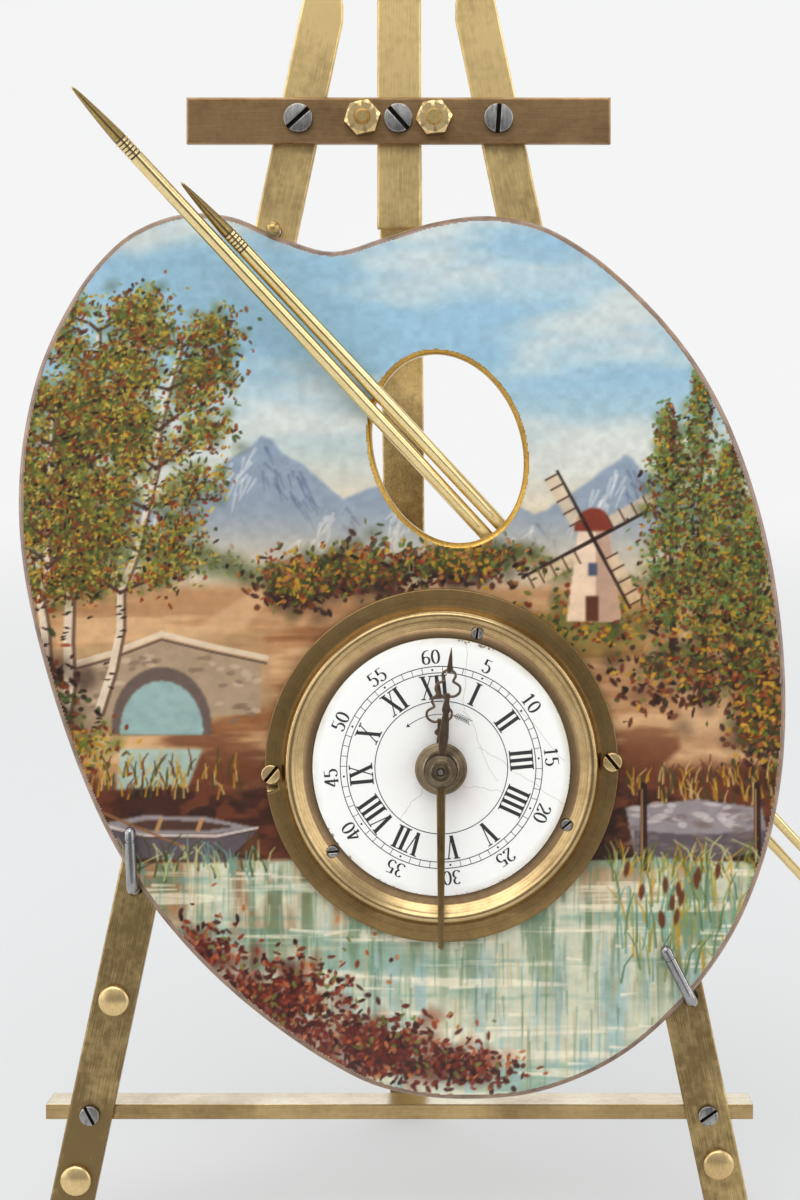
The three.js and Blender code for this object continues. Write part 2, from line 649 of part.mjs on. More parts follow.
// Palette: rounded edges, thumb hole, hole for the drum and blind holes for the bezel's screws
function paletteGeometry() {
  const shape = new THREE.Shape(outline);
  const thumb = new THREE.Path();
  thumb.absellipse(THUMB_X, THUMB_Z, THUMB_SHORT, THUMB_LONG, 0, 2 * Math.PI, true, rad(THUMB_TURN));
  shape.holes.push(thumb);
  const slab = plate(shape, PALETTE_T, PALETTE_FRONT, {
    edge: PALETTE_ROUND, edgeSteps: 2, curveSegments: 10,
  });
  const screwHoles = Object.values(BEZEL_SCREW_ANGLES).map((angle) => {
    const [x, z] = polar(BEZEL_SCREW_R, angle);
    const hole = rod(BEZEL_SCREW.shankR + RUN, PALETTE_FRONT - SLACK, PALETTE_FRONT + PALETTE_T * 0.7, 8);
    return hole.translate(DIAL_X + x, 0, DIAL_Z + z);
  });
  const drumHole = plate(
    round(DIAL_X, DIAL_Z, DRUM_R + SEAT, DRUM_SIDES), PALETTE_T + 2 * SLACK, PALETTE_FRONT - SLACK,
  );
  return cut(slab, drumHole, ...screwHoles);
}
add(easel, 'palette', paletteGeometry(), PORCELAIN);

// Swivelling hooks: a stem through the leg, a bend and a finger over the palette's face, with a nut behind
function hook() {
  const fingerY = PALETTE_FRONT - SEAT - HOOK_R;
  const stemEnd = STRIP_T + SEAT + HOOK_NUT_T + SEAT;
  const at = (y, z) => new THREE.Vector3(0, y, z);
  const bendStart = at(fingerY + HOOK_BEND, 0);
  const bendEnd = at(fingerY, HOOK_BEND);
  const path = new THREE.CurvePath();
  path.add(new THREE.LineCurve3(at(stemEnd, 0), bendStart));
  path.add(new THREE.QuadraticBezierCurve3(bendStart, at(fingerY, 0), bendEnd));
  path.add(new THREE.LineCurve3(bendEnd, at(fingerY, HOOK_FINGER)));
  const section = new THREE.Shape().absarc(0, 0, HOOK_R, 0, 2 * Math.PI, false);
  const wire = new THREE.ExtrudeGeometry(section, { steps: 12, extrudePath: path, curveSegments: 4 });
  const tip = new THREE.SphereGeometry(HOOK_R, 8, 6).translate(0, fingerY, HOOK_FINGER);
  return join(wire, tip);
}
for (const [holder, side, x, along, turn] of [
  [leftLeg, 'left', -LEFT_HOOK.out, leftHookAlong, LEFT_HOOK.turn + LEG_SPLAY],
  [rightLeg, 'right', RIGHT_HOOK.out, rightHookAlong, RIGHT_HOOK.turn - LEG_SPLAY],
]) {
  const pivot = group(holder, `${side}_hook_pivot`, x, 0, along);
  pivot.rotation.y = -rad(turn);
  add(pivot, `palette_hook_${side}`, hook(), STEEL);
  const nut = tube(HOOK_NUT_R, HOOK_R + RUN / 2, STRIP_T + SEAT, STRIP_T + SEAT + HOOK_NUT_T, 12);
  add(pivot, `hook_nut_${side}`, nut, AGED_BRASS);
}

// Ball-headed pin over the palette's upper edge
const ballY = PALETTE_FRONT - SEAT - BALL_R;
const ballPin = join(
  rod(BALL_PIN_R, ballY, STRIP_T - SEAT, 10),
  new THREE.SphereGeometry(BALL_R, 10, 8).translate(0, ballY, 0),
);
add(leftLeg, 'ball_pin', ballPin, AGED_BRASS, 0, 0, ballAlong);

// Brushes: each lies in front of the palette on one side of the thumb hole and behind it on the other
function brushProfile(reach) {
  const neck = reach - BRUSH_POINT;
  const ferrule = neck - FERRULE_LENGTH;
  const ringStep = FERRULE_LENGTH / 4;
  return [
    [0, -BRUSH_TAIL], [BRUSH_END_R * 0.7, -BRUSH_TAIL], [BRUSH_END_R, -BRUSH_TAIL + 1],
    [BRUSH_R * 0.92, -BRUSH_TAIL * 0.55], [BRUSH_R, -BRUSH_TAIL * 0.2], [BRUSH_R, reach * 0.2],
    [BRUSH_NECK_R, ferrule - ringStep], [FERRULE_R, ferrule], [BRUSH_NECK_R, ferrule + ringStep],
    [FERRULE_R, ferrule + 2 * ringStep], [BRUSH_NECK_R, ferrule + 3 * ringStep], [FERRULE_R, neck],
    [BRUSH_NECK_R * 0.6, reach - BRUSH_POINT * 0.35], [BRUSH_NECK_R * 0.25, reach - 0.4], [0, reach],
  ];
}

// Half the chord that a line at this offset and angle cuts from the thumb hole, and the chord's middle.
function thumbChord(offset, angle) {
  const [dx, dz] = polar(1, angle - THUMB_TURN);
  const [px, pz] = [-dz * offset, dx * offset];
  const a = (dx / THUMB_SHORT) ** 2 + (dz / THUMB_LONG) ** 2;
  const b = (px * dx) / THUMB_SHORT ** 2 + (pz * dz) / THUMB_LONG ** 2;
  const c = (px / THUMB_SHORT) ** 2 + (pz / THUMB_LONG) ** 2 - 1;
  const half = Math.sqrt(b * b - a * c) / a;
  const middle = new THREE.Vector2(px - (dx * b) / a, pz - (dz * b) / a);
  middle.rotateAround(new THREE.Vector2(), rad(THUMB_TURN));
  return { half, x: THUMB_X + middle.x, z: THUMB_Z + middle.y };
}

function brush(name, { reach, offset, turn }) {
  const angle = BRUSH_ANGLE + turn;
  const chord = thumbChord(offset, angle);
  const tilt = Math.atan2(PALETTE_T / 2 + BRUSH_R + BRUSH_GAP, chord.half);
  const [dx, dz] = polar(Math.cos(tilt), angle);
  const holder = group(easel, `${name}_axis`, chord.x, (PALETTE_FRONT + PALETTE_BACK) / 2, chord.z);
  const direction = new THREE.Vector3(dx, -Math.sin(tilt), dz);
  holder.quaternion.setFromUnitVectors(new THREE.Vector3(0, 1, 0), direction);
  add(holder, name, turned(brushProfile(reach), 8), BRIGHT_BRASS);
}
brush('brush_long', LONG_BRUSH);
brush('brush_short', SHORT_BRUSH);

// The clock: everything is set round the dial's axis
const works = group(easel, 'dial_axis', DIAL_X, 0, DIAL_Z);

// Bezel: a flat flange, a raised ring and an inner ring up to the dial, notched for its two screws
function bezelGeometry() {
  const crest = FLANGE_FRONT - CREST_HEIGHT;
  const half = CREST_WIDTH / 2;
  const edge = BEZEL_FLANGE_T / 4;
  const inside = DIAL_R + SEAT;
  const recess = DRUM_R + SEAT;
  const ring = turnedRing([
    [inside, INNER_RING_BACK], [inside, INNER_RING_FRONT], [CREST_R - half, INNER_RING_FRONT],
    [CREST_R - half * 0.55, crest + CREST_HEIGHT * 0.12], [CREST_R, crest],
    [CREST_R + half * 0.6, crest + CREST_HEIGHT * 0.16], [CREST_R + half, FLANGE_FRONT],
    [BEZEL_R - edge, FLANGE_FRONT], [BEZEL_R, FLANGE_FRONT + edge],
    [BEZEL_R, FLANGE_BACK], [recess, FLANGE_BACK], [recess, INNER_RING_BACK],
  ], DRUM_SIDES);
  const clearance = BEZEL_SCREW.shankR + RUN;
  const notch = (angle, width) => spun(box(
    BEZEL_SCREW_R - clearance, BEZEL_R + SLACK, FLANGE_FRONT - SLACK, FLANGE_BACK + SEAT,
    -clearance, width - clearance,
  ), angle);
  const notches = [
    notch(BEZEL_SCREW_ANGLES.right, 2 * clearance), notch(BEZEL_SCREW_ANGLES.left, BEZEL_NOTCH),
  ];
  const dialHoles = Object.values(DIAL_SCREW_ANGLES).map((angle) => {
    const [x, z] = polar(DIAL_SCREW_R, angle);
    const holeFront = INNER_RING_FRONT - CREST_HEIGHT;
    return rod(DIAL_SCREW.shankR + RUN, holeFront, INNER_RING_BACK + SEAT / 2, 8).translate(x, 0, z);
  });
  return cut(ring, ...notches, ...dialHoles);
}
add(works, 'bezel', bezelGeometry(), AGED_BRASS);

const bezelShank = FLANGE_BACK - FLANGE_FRONT + PALETTE_T * 0.6;
for (const [name, slotAngle] of [['left', 45], ['right', 130]]) {
  const [x, z] = polar(BEZEL_SCREW_R, BEZEL_SCREW_ANGLES[name]);
  const geometry = screw(BEZEL_SCREW, bezelShank, slotAngle);
  add(works, `bezel_screw_${name}`, geometry, BRIGHT_BRASS, x, FLANGE_FRONT - SEAT, z);
}
const dialShank = INNER_RING_T + SEAT + DRUM_LIP_T;
for (const [name, slotAngle] of [['top', 80], ['right', 40], ['left', 5]]) {
  const [x, z] = polar(DIAL_SCREW_R, DIAL_SCREW_ANGLES[name]);
  const geometry = screw(DIAL_SCREW, dialShank, slotAngle);
  add(works, `dial_screw_${name}`, geometry, STEEL, x, INNER_RING_FRONT - SEAT, z);
}

// Dial: a thin domed enamel disc with a hole for the pipes of the hands
const dialProfile = [
  [DIAL_HOLE_R, DIAL_BACK], [DIAL_HOLE_R, DIAL_FRONT - DIAL_DOME],
  [DIAL_R * 0.55, DIAL_FRONT - DIAL_DOME * 0.7], [DIAL_R - DIAL_T / 3, DIAL_FRONT],
  [DIAL_R, DIAL_FRONT + DIAL_T / 3], [DIAL_R, DIAL_BACK],
];
add(works, 'dial', turnedRing(dialProfile, DRUM_SIDES), ENAMEL);

// Drum case with a front lip that seats the bezel and the dial, and its back cover
function drumGeometry() {
  const shell = turnedRing([
    [DRUM_R - DRUM_WALL, DRUM_BACK], [DRUM_R, DRUM_BACK], [DRUM_R, DRUM_FRONT],
    [DRUM_LIP_R + DIAL_SEAT_WIDTH - SEAT, DRUM_FRONT], [DRUM_LIP_R + DIAL_SEAT_WIDTH - SEAT, DIAL_SEAT],
    [DRUM_LIP_R, DIAL_SEAT], [DRUM_LIP_R, LIP_BACK], [DRUM_R - DRUM_WALL, LIP_BACK],
  ], DRUM_SIDES);
  const holes = Object.values(DIAL_SCREW_ANGLES).map((angle) => {
    const [x, z] = polar(DIAL_SCREW_R, angle);
    return rod(DIAL_SCREW.shankR + RUN, DRUM_FRONT - SEAT, LIP_BACK + SEAT, 8).translate(x, 0, z);
  });
  return cut(shell, ...holes);
}
add(works, 'drum_case', drumGeometry(), AGED_BRASS);

const [barrelX, barrelZ] = polar(meshDistance(CENTRE_PINION, GREAT_WHEEL), BARREL_ANGLE);
const [alarmX, alarmZ] = polar(ALARM_BARREL_OFFSET, ALARM_BARREL_ANGLE);
const [thirdX, thirdZ] = polar(meshDistance(CENTRE_WHEEL, THIRD_PINION), THIRD_ANGLE);
const [minuteX, minuteZ] = polar(meshDistance(CANNON, MINUTE_WHEEL), MINUTE_WHEEL_ANGLE);
const coverHoles = [
  [0, 0, ARBOR_R], [barrelX, barrelZ, WINDING_ARBOR_R], [alarmX, alarmZ, WINDING_ARBOR_R],
];
const lipR = DRUM_R - DRUM_WALL - SEAT;
const coverDisc = turned([
  [0, DRUM_BACK - COVER_LIP], [lipR, DRUM_BACK - COVER_LIP], [lipR, DRUM_BACK + SEAT],
  [DRUM_R, DRUM_BACK + SEAT], [DRUM_R, COVER_BACK], [0, COVER_BACK],
], DRUM_SIDES);
const coverRecess = rod(lipR - DRUM_WALL, DRUM_BACK - COVER_LIP - SLACK, DRUM_BACK + SEAT, DRUM_SIDES);
const coverTools = coverHoles.map(([x, z, r]) => {
  return rod(r + 2 * RUN, DRUM_BACK - COVER_LIP - SLACK, COVER_BACK + SLACK).translate(x, 0, z);
});
add(works, 'back_cover', cut(coverDisc, coverRecess, ...coverTools), AGED_BRASS);

// Movement plates: the front plate carries the pillars and the minute wheel's post
const pivotHoles = [...coverHoles, [thirdX, thirdZ, ARBOR_R]];
function plateDisc(front, extraHoles = []) {
  const shape = circle(0, 0, PLATE_R, DRUM_SIDES);
  [...pivotHoles, ...extraHoles].forEach(([x, z, r]) => shape.holes.push(round(x, z, r + RUN)));
  return plate(shape, PLATE_T, front);
}
const pillarEndR = PILLAR_R * 0.6;
const pillars = PILLAR_ANGLES.map((angle) => {
  const [x, z] = polar(PILLAR_CIRCLE, angle);
  const profile = [
    [0, TRAIN_FRONT - SEAT], [PILLAR_R, TRAIN_FRONT - SEAT], [PILLAR_R, BACK_PLATE - SEAT],
    [pillarEndR, BACK_PLATE - SEAT], [pillarEndR, TRAIN_BACK], [0, TRAIN_BACK],
  ];
  return turned(profile, 8).translate(x, 0, z);
});
const minutePost = rod(ARBOR_R, HOUR_WHEEL_Y, FRONT_PLATE + SEAT, 10).translate(minuteX, 0, minuteZ);
add(works, 'pillar_plate', join(plateDisc(FRONT_PLATE), ...pillars, minutePost), BRIGHT_BRASS);

const pillarHoles = PILLAR_ANGLES.map((angle) => [...polar(PILLAR_CIRCLE, angle), pillarEndR]);
const bellPostEnd = TRAIN_BACK + BELL.gap + BELL.depth + SEAT;
const hammerFront = TRAIN_BACK + BELL.gap;
const hammerBack = hammerFront + HAMMER.thickness;
const posts = [
  rod(POST_R, TRAIN_BACK - SEAT, bellPostEnd, 10).translate(BELL.x, 0, BELL.z),
  rod(ARBOR_R, TRAIN_BACK - SEAT, hammerBack + SEAT, 10).translate(HAMMER.pivotX, 0, HAMMER.pivotZ),
];
add(works, 'back_plate', join(plateDisc(BACK_PLATE, pillarHoles), ...posts), BRIGHT_BRASS);

// Minute work: centre arbor with its pinion, centre wheel, cannon pinion, minute hand and setting knob
const barrelFront = TRAIN_FRONT + 3 * SEAT;
const greatWheelY = barrelFront + BARREL_LENGTH;
const minuteAxis = group(works, 'minute_axis');
const knobFront = COVER_BACK + SEAT;
const centreShaft = turned([
  [0, COLLET_FRONT], [ARBOR_TIP_R, COLLET_FRONT], [ARBOR_TIP_R, MINUTE_HAND_Y], [ARBOR_R, MINUTE_HAND_Y],
  [ARBOR_R, knobFront + KNOB_T], [0, knobFront + KNOB_T],
], 12);
const centrePinion = spun(
  plate(toothed(CENTRE_PINION), GREAT_WHEEL_T + 2 * PINION_OVERLAP, greatWheelY - PINION_OVERLAP),
  driverTurn(BARREL_ANGLE),
);
add(minuteAxis, 'centre_arbor', join(centreShaft, centrePinion), STEEL);

function wheelShape(gear, bore, hubR, spokes) {
  const shape = toothed(gear);
  shape.holes.push(round(0, 0, bore));
  const rimR = pitchRadius(gear) - 3 * gear.module;
  return crossings(shape, hubR, rimR, spokes, hubR * 0.7);
}
const centreWheelY = TRAIN_FRONT + CENTRE_WHEEL_Y;
const centreShape = wheelShape(CENTRE_WHEEL, ARBOR_R + RUN / 2, WHEEL_HUB_R, WHEEL_SPOKES);
const centreWheel = plate(centreShape, WHEEL_T, centreWheelY, { curveSegments: 3 });
add(minuteAxis, 'centre_wheel', spun(centreWheel, driverTurn(THIRD_ANGLE)), BRIGHT_BRASS);

const cannonGear = toothed(CANNON);
cannonGear.holes.push(round(0, 0, ARBOR_R + RUN / 2));
const cannonTeeth = spun(plate(cannonGear, WHEEL_T, MOTION_Y), driverTurn(MINUTE_WHEEL_ANGLE));
const cannonPipe = tube(CANNON_PIPE_R, ARBOR_R + RUN / 2, MINUTE_HAND_Y - SEAT, MOTION_Y + WHEEL_T / 2, 12);
add(minuteAxis, 'cannon_pinion', join(cannonPipe, cannonTeeth), STEEL);

// A pierced hand pointing up: tapered stem with a bead, two lobes, a crown and a spear point
function handGeometry({ length, stem, lobes, lobeR, crown, crownR, bead }, hubR, bore, front) {
  const flat = (shape) => plate(shape, HAND_T, front);
  const boss = (x, z, r) => flat(circle(x, z, r, 8));
  const through = (shape) => plate(shape, HAND_T + 2 * SLACK, front - SLACK);
  const lobeX = lobeR * 0.75;
  const crownX = crownR * 0.65;
  const foot = lobes - lobeR;
  const shoulder = crown + crownR * 0.7;
  const rings = [
    [-lobeX, lobes, lobeR], [lobeX, lobes, lobeR], [-crownX, crown, crownR], [crownX, crown, crownR],
  ];
  const openings = rings.map(([x, z, r]) => through(circle(x, z, r - HAND_WIRE, 8)));
  const loops = cut(join(...rings.map(([x, z, r]) => boss(x, z, r))), ...openings);
  const shaft = flat(polygon([
    [-stem / 2, 0], [stem / 2, 0], [stem * 0.3, foot + HAND_WIRE], [-stem * 0.3, foot + HAND_WIRE],
  ]));
  const spear = flat(polygon([[-crownR * 0.45, shoulder], [crownR * 0.45, shoulder], [0, length]]));
  const bow = join(boss(0, 0, hubR), shaft, boss(0, bead, stem * 0.62), loops, spear);
  return cut(bow, through(round(0, 0, bore, 12)));
}

const colletBore = CANNON_PIPE_R + RUN / 2;
const minuteBlade = spun(handGeometry(MINUTE_HAND, COLLET_R, colletBore, MINUTE_HAND_Y), -MINUTE_ANGLE);
const colletStep = MINUTE_HAND_Y - (MINUTE_HAND_Y - COLLET_FRONT) * 0.45;
const collet = turnedRing([
  [ARBOR_TIP_R + RUN, COLLET_FRONT], [COLLET_STEP_R - SEAT, COLLET_FRONT],
  [COLLET_STEP_R, COLLET_FRONT + SEAT],
  [COLLET_STEP_R, colletStep], [COLLET_R, colletStep + SEAT], [COLLET_R, MINUTE_HAND_Y + HAND_T / 2],
  [colletBore, MINUTE_HAND_Y + HAND_T / 2], [colletBore, MINUTE_HAND_Y - 2 * SEAT],
  [ARBOR_TIP_R + RUN, MINUTE_HAND_Y - 2 * SEAT],
], 12);
add(minuteAxis, 'minute_hand', join(minuteBlade, collet), BRONZE);

const knobProfile = [
  [ARBOR_R + RUN / 2, knobFront], [KNOB_R, knobFront], [KNOB_R, knobFront + KNOB_T * 0.8],
  [KNOB_R * 0.85, knobFront + KNOB_T], [ARBOR_R + RUN / 2, knobFront + KNOB_T],
];
add(minuteAxis, 'setting_knob', turnedRing(knobProfile, 12), BRIGHT_BRASS);

// Motion work: the minute wheel with its pinion on the post, and the hour wheel with its pipe
const motionAxis = group(works, 'motion_axis', minuteX, 0, minuteZ);
const motionBore = ARBOR_R + RUN;
function boredGear(gear, front, thickness, turn, bore) {
  const shape = toothed(gear);
  shape.holes.push(round(0, 0, bore));
  return spun(plate(shape, thickness, front), turn);
}
const minuteWheel = boredGear(
  MINUTE_WHEEL, MOTION_Y, WHEEL_T, followerTurn(MINUTE_WHEEL_ANGLE, MINUTE_WHEEL), motionBore,
);
const minutePinion = boredGear(
  MINUTE_PINION, HOUR_WHEEL_Y, WHEEL_T + PINION_OVERLAP + SEAT,
  driverTurn(MINUTE_WHEEL_ANGLE + 180), motionBore,
);
add(motionAxis, 'minute_wheel', join(minuteWheel, minutePinion), BRIGHT_BRASS);

const hourAxis = group(works, 'hour_axis');
const hourWheel = boredGear(
  HOUR_WHEEL, HOUR_WHEEL_Y, WHEEL_T, followerTurn(MINUTE_WHEEL_ANGLE + 180, HOUR_WHEEL), HOUR_PIPE_BORE,
);
const hourPipe = tube(HOUR_PIPE_R, HOUR_PIPE_BORE, HOUR_HAND_Y, HOUR_WHEEL_Y + WHEEL_T / 2, 12);
add(hourAxis, 'hour_wheel', join(hourWheel, hourPipe), BRIGHT_BRASS);
const hourBlade = handGeometry(HOUR_HAND, HOUR_PIPE_R + 1, HOUR_PIPE_R + RUN / 2, HOUR_HAND_Y);
add(hourAxis, 'hour_hand', spun(hourBlade, -HOUR_ANGLE), BRONZE);

// Alarm hand: a long tapered bar on a stepped disc, pushed round by hand on the cannon pipe
const alarmAxis = group(works, 'alarm_axis');
const alarmBore = CANNON_PIPE_R + RUN;
const alarmHub = turnedRing([
  [alarmBore, ALARM_Y - ALARM_BOSS], [ALARM_BOSS_R - SEAT, ALARM_Y - ALARM_BOSS],
  [ALARM_BOSS_R, ALARM_Y - ALARM_BOSS + SEAT], [ALARM_BOSS_R, ALARM_Y], [ALARM_DISC_R, ALARM_Y],
  [ALARM_DISC_R, ALARM_Y + ALARM_DISC_T], [alarmBore, ALARM_Y + ALARM_DISC_T],
], 16);
const alarmBar = plate(polygon([
  [-ALARM_WIDTH / 2, -ALARM_BOSS_R + SEAT], [-ALARM_WIDTH * 0.32, -ALARM_LENGTH],
  [ALARM_WIDTH * 0.32, -ALARM_LENGTH], [ALARM_WIDTH / 2, -ALARM_BOSS_R + SEAT],
]), HAND_T, ALARM_Y - HAND_T / 2);
add(alarmAxis, 'alarm_hand', join(alarmHub, alarmBar), BRONZE);

// Barrels with their winding arbors and keys
const barrelAxis = group(works, 'barrel_axis', barrelX, 0, barrelZ);
const arborBore = WINDING_ARBOR_R + RUN;
const barrelDrum = tube(BARREL_R, arborBore, barrelFront, greatWheelY + GREAT_WHEEL_T / 2, 14);
const greatWheel = boredGear(
  GREAT_WHEEL, greatWheelY, GREAT_WHEEL_T, followerTurn(BARREL_ANGLE, GREAT_WHEEL), arborBore,
);
add(barrelAxis, 'mainspring_barrel', join(barrelDrum, greatWheel), BRIGHT_BRASS);

const alarmBarrelAxis = group(works, 'alarm_barrel_axis', alarmX, 0, alarmZ);
const alarmBarrel = tube(ALARM_BARREL_R, arborBore, barrelFront, barrelFront + ALARM_BARREL_LENGTH, 14);
add(alarmBarrelAxis, 'alarm_barrel', alarmBarrel, BRIGHT_BRASS);

const keyFront = COVER_BACK + SEAT;
function keyGeometry() {
  const bow = circle(0, 0, KEY_RING_R, 10);
  bow.holes.push(round(0, 0, KEY_RING_HOLE));
  const ring = (x) => {
    const wing = plate(bow, KEY_T, -KEY_T / 2).translate(x, 0, 0);
    return wing.rotateX(Math.PI / 2).translate(0, keyFront + KEY_HUB, 0);
  };
  const wingX = KEY_RING_R - SEAT;
  const hub = rod(KEY_HUB_R, keyFront, keyFront + KEY_HUB + KEY_T);
  const socket = rod(WINDING_ARBOR_R + RUN, keyFront - SLACK, keyFront + KEY_HUB - 2 * SEAT, 12);
  return cut(join(hub, ring(-wingX), ring(wingX)), socket);
}
const arborShaft = rod(WINDING_ARBOR_R, FRONT_PLATE + SEAT, keyFront + KEY_HUB - 3 * SEAT, 12);
for (const [name, arborName, keyName, x, z] of [
  ['winding_axis', 'barrel_arbor', 'winding_key', barrelX, barrelZ],
  ['alarm_winding_axis', 'alarm_arbor', 'alarm_key', alarmX, alarmZ],
]) {
  const axis = group(works, name, x, 0, z);
  add(axis, arborName, arborShaft.clone(), STEEL);
  add(axis, keyName, keyGeometry(), BRIGHT_BRASS);
}

// Third wheel and its pinion
const thirdAxis = group(works, 'third_axis', thirdX, 0, thirdZ);
const thirdWheelY = TRAIN_FRONT + THIRD_WHEEL_Y;
const thirdPinion = spun(
  plate(toothed(THIRD_PINION), WHEEL_T + 2 * PINION_OVERLAP, centreWheelY - PINION_OVERLAP),
  followerTurn(THIRD_ANGLE, THIRD_PINION),
);
const thirdDisc = plate(toothed(THIRD_WHEEL), WHEEL_T, thirdWheelY);
const thirdArbor = rod(ARBOR_R, FRONT_PLATE + SEAT, TRAIN_BACK - SEAT, 10);
add(thirdAxis, 'third_wheel', join(thirdArbor, thirdDisc, thirdPinion), BRIGHT_BRASS);

// Escapement platform, balance wheel and its cock, on the back of the back plate
const platformFront = TRAIN_BACK + SEAT;
const platformBack = platformFront + PLATFORM.thickness;
const platformAxis = group(works, 'balance_axis', 0, 0, PLATFORM.z);
const staffHole = BALANCE_STAFF_R + RUN;
const [platformHalfX, platformHalfZ] = [PLATFORM.width / 2, PLATFORM.height / 2];
const platformBlock = cut(
  box(-platformHalfX, platformHalfX, platformFront, platformBack, -platformHalfZ, platformHalfZ),
  rod(staffHole, platformBack - PLATFORM.thickness / 2, platformBack + SLACK, 10),
);
add(platformAxis, 'escapement_platform', platformBlock, BRIGHT_BRASS);

const balanceY = platformBack + BALANCE_GAP;
const cockFront = platformBack + COCK_RISE;
const balanceRim = tube(BALANCE_R, BALANCE_R - BALANCE_RIM, balanceY, balanceY + HAND_T, 16);
const spokeReach = BALANCE_R - BALANCE_RIM / 2;
const balanceSpokes = [0, 90].map((angle) => {
  return spun(box(-spokeReach, spokeReach, balanceY, balanceY + HAND_T, -HAND_T / 2, HAND_T / 2), angle);
});
const staff = rod(BALANCE_STAFF_R, platformBack - PLATFORM.thickness / 2 + SEAT, cockFront + COCK_T, 10);
add(platformAxis, 'balance_wheel', join(balanceRim, ...balanceSpokes, staff), BRIGHT_BRASS);

const cockX = BALANCE_R + POST_R + SEAT;
const cockArm = cut(
  box(-COCK_WIDTH / 2, cockX + POST_R, cockFront, cockFront + COCK_T, -COCK_WIDTH / 2, COCK_WIDTH / 2),
  rod(staffHole, cockFront - SLACK, cockFront + COCK_T + SLACK, 10),
);
const cockFoot = rod(POST_R, platformBack + SEAT, cockFront + COCK_T / 2, 10).translate(cockX, 0, 0);
add(platformAxis, 'balance_cock', join(cockArm, cockFoot), BRIGHT_BRASS);

// Alarm bell on its post, with the hammer beside it
const bellFront = TRAIN_BACK + BELL.gap;
const bellBack = bellFront + BELL.depth;
const bellProfile = [
  [POST_R + RUN, bellBack - BELL.wall], [BELL.radius * 0.6, bellBack - BELL.wall],
  [BELL.radius - BELL.wall * 1.6, bellBack - BELL.depth * 0.4], [BELL.radius - BELL.wall, bellFront],
  [BELL.radius, bellFront], [BELL.radius - BELL.wall * 0.6, bellBack - BELL.depth * 0.35],
  [BELL.radius * 0.65, bellBack], [POST_R + RUN, bellBack],
];
add(works, 'bell', turnedRing(bellProfile, 14), BRIGHT_BRASS, BELL.x, 0, BELL.z);

const hammerAxis = group(works, 'hammer_axis', HAMMER.pivotX, 0, HAMMER.pivotZ);
const [hammerX, hammerZ] = [HAMMER.headX - HAMMER.pivotX, HAMMER.headZ - HAMMER.pivotZ];
const hammerReach = Math.hypot(hammerX, hammerZ);
const hammerTurn = THREE.MathUtils.radToDeg(Math.atan2(hammerZ, hammerX));
const hammerBody = cut(
  join(
    rod(2 * ARBOR_R, hammerFront, hammerBack, 12),
    box(0, hammerReach, hammerFront, hammerBack, -HAMMER.arm / 2, HAMMER.arm / 2),
    rod(HAMMER.headR, hammerFront, hammerBack, 12).translate(hammerReach, 0, 0),
  ),
  rod(ARBOR_R + RUN, hammerFront - SLACK, hammerBack + SLACK, 12),
);
add(hammerAxis, 'hammer', spun(hammerBody, hammerTurn), STEEL);

// The origin lies on the floor, under the middle of the whole object.
clock.updateMatrixWorld(true);
const bounds = new THREE.Box3().setFromObject(clock, true);
const middle = bounds.getCenter(new THREE.Vector3());
stand.position.set(-middle.x, -middle.y, -bounds.min.z);
clock.updateMatrixWorld(true);

export default clock;
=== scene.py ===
import json
import math
import random

import bmesh
import bpy
import numpy as np
from mathutils import Matrix, Vector


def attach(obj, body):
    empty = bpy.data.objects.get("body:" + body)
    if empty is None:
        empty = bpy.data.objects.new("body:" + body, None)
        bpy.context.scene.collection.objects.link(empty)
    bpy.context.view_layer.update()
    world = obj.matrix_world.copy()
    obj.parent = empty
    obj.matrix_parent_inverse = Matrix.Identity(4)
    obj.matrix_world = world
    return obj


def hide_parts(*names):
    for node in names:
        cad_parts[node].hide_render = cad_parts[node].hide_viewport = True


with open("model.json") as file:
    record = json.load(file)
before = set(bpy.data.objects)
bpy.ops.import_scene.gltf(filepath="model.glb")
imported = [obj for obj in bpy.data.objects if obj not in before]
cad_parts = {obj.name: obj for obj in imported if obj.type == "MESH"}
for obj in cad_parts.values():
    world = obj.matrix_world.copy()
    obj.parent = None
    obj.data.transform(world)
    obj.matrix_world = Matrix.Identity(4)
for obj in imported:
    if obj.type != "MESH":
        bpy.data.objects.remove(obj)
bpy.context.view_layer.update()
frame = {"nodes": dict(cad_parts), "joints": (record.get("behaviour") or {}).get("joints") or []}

# Places and sizes of the easel's own frame, in millimetres: x to the right, y backwards, z up along the lean
MM = 0.001
LEAN = 8
LEG_SPLAY = 11.9
DIAL_X, DIAL_Z = 9.6, 108.5
PALETTE_FRONT, PALETTE_T, PALETTE_ROUND = -6.3, 6.0, 1.6
THUMB_X, THUMB_Z = 10.9, 178.0
THUMB_SHORT, THUMB_LONG, THUMB_TURN = 16.2, 21.2, 18
DRUM_R, DRUM_FRONT, DRUM_BACK, COVER_BACK = 31.6, -8.8, 27.2, 28.7
FLANGE_R, FLANGE_BACK, FLANGE_FRONT = 38.8, -6.6, -8.1
CREST_R, CREST_FRONT = 33.2, -11.9
INNER_RING_FRONT, INNER_RING_BACK = -10.3, -9.1
DIAL_R, DIAL_HOLE_R, DIAL_BACK, DIAL_FRONT, DIAL_DOME = 28.1, 3.2, -10.9, -12.1, 0.5
DIAL_TURN = 5.3
HAND_T = 0.8
HOUR_HAND_Y, ALARM_Y, MINUTE_HAND_Y, COLLET_FRONT = -14.6, -16.1, -19.0, -22.6
MINUTE_ANGLE, HOUR_ANGLE = 5, -2
BAR_FRONT = -3.3
SEAT = 0.3

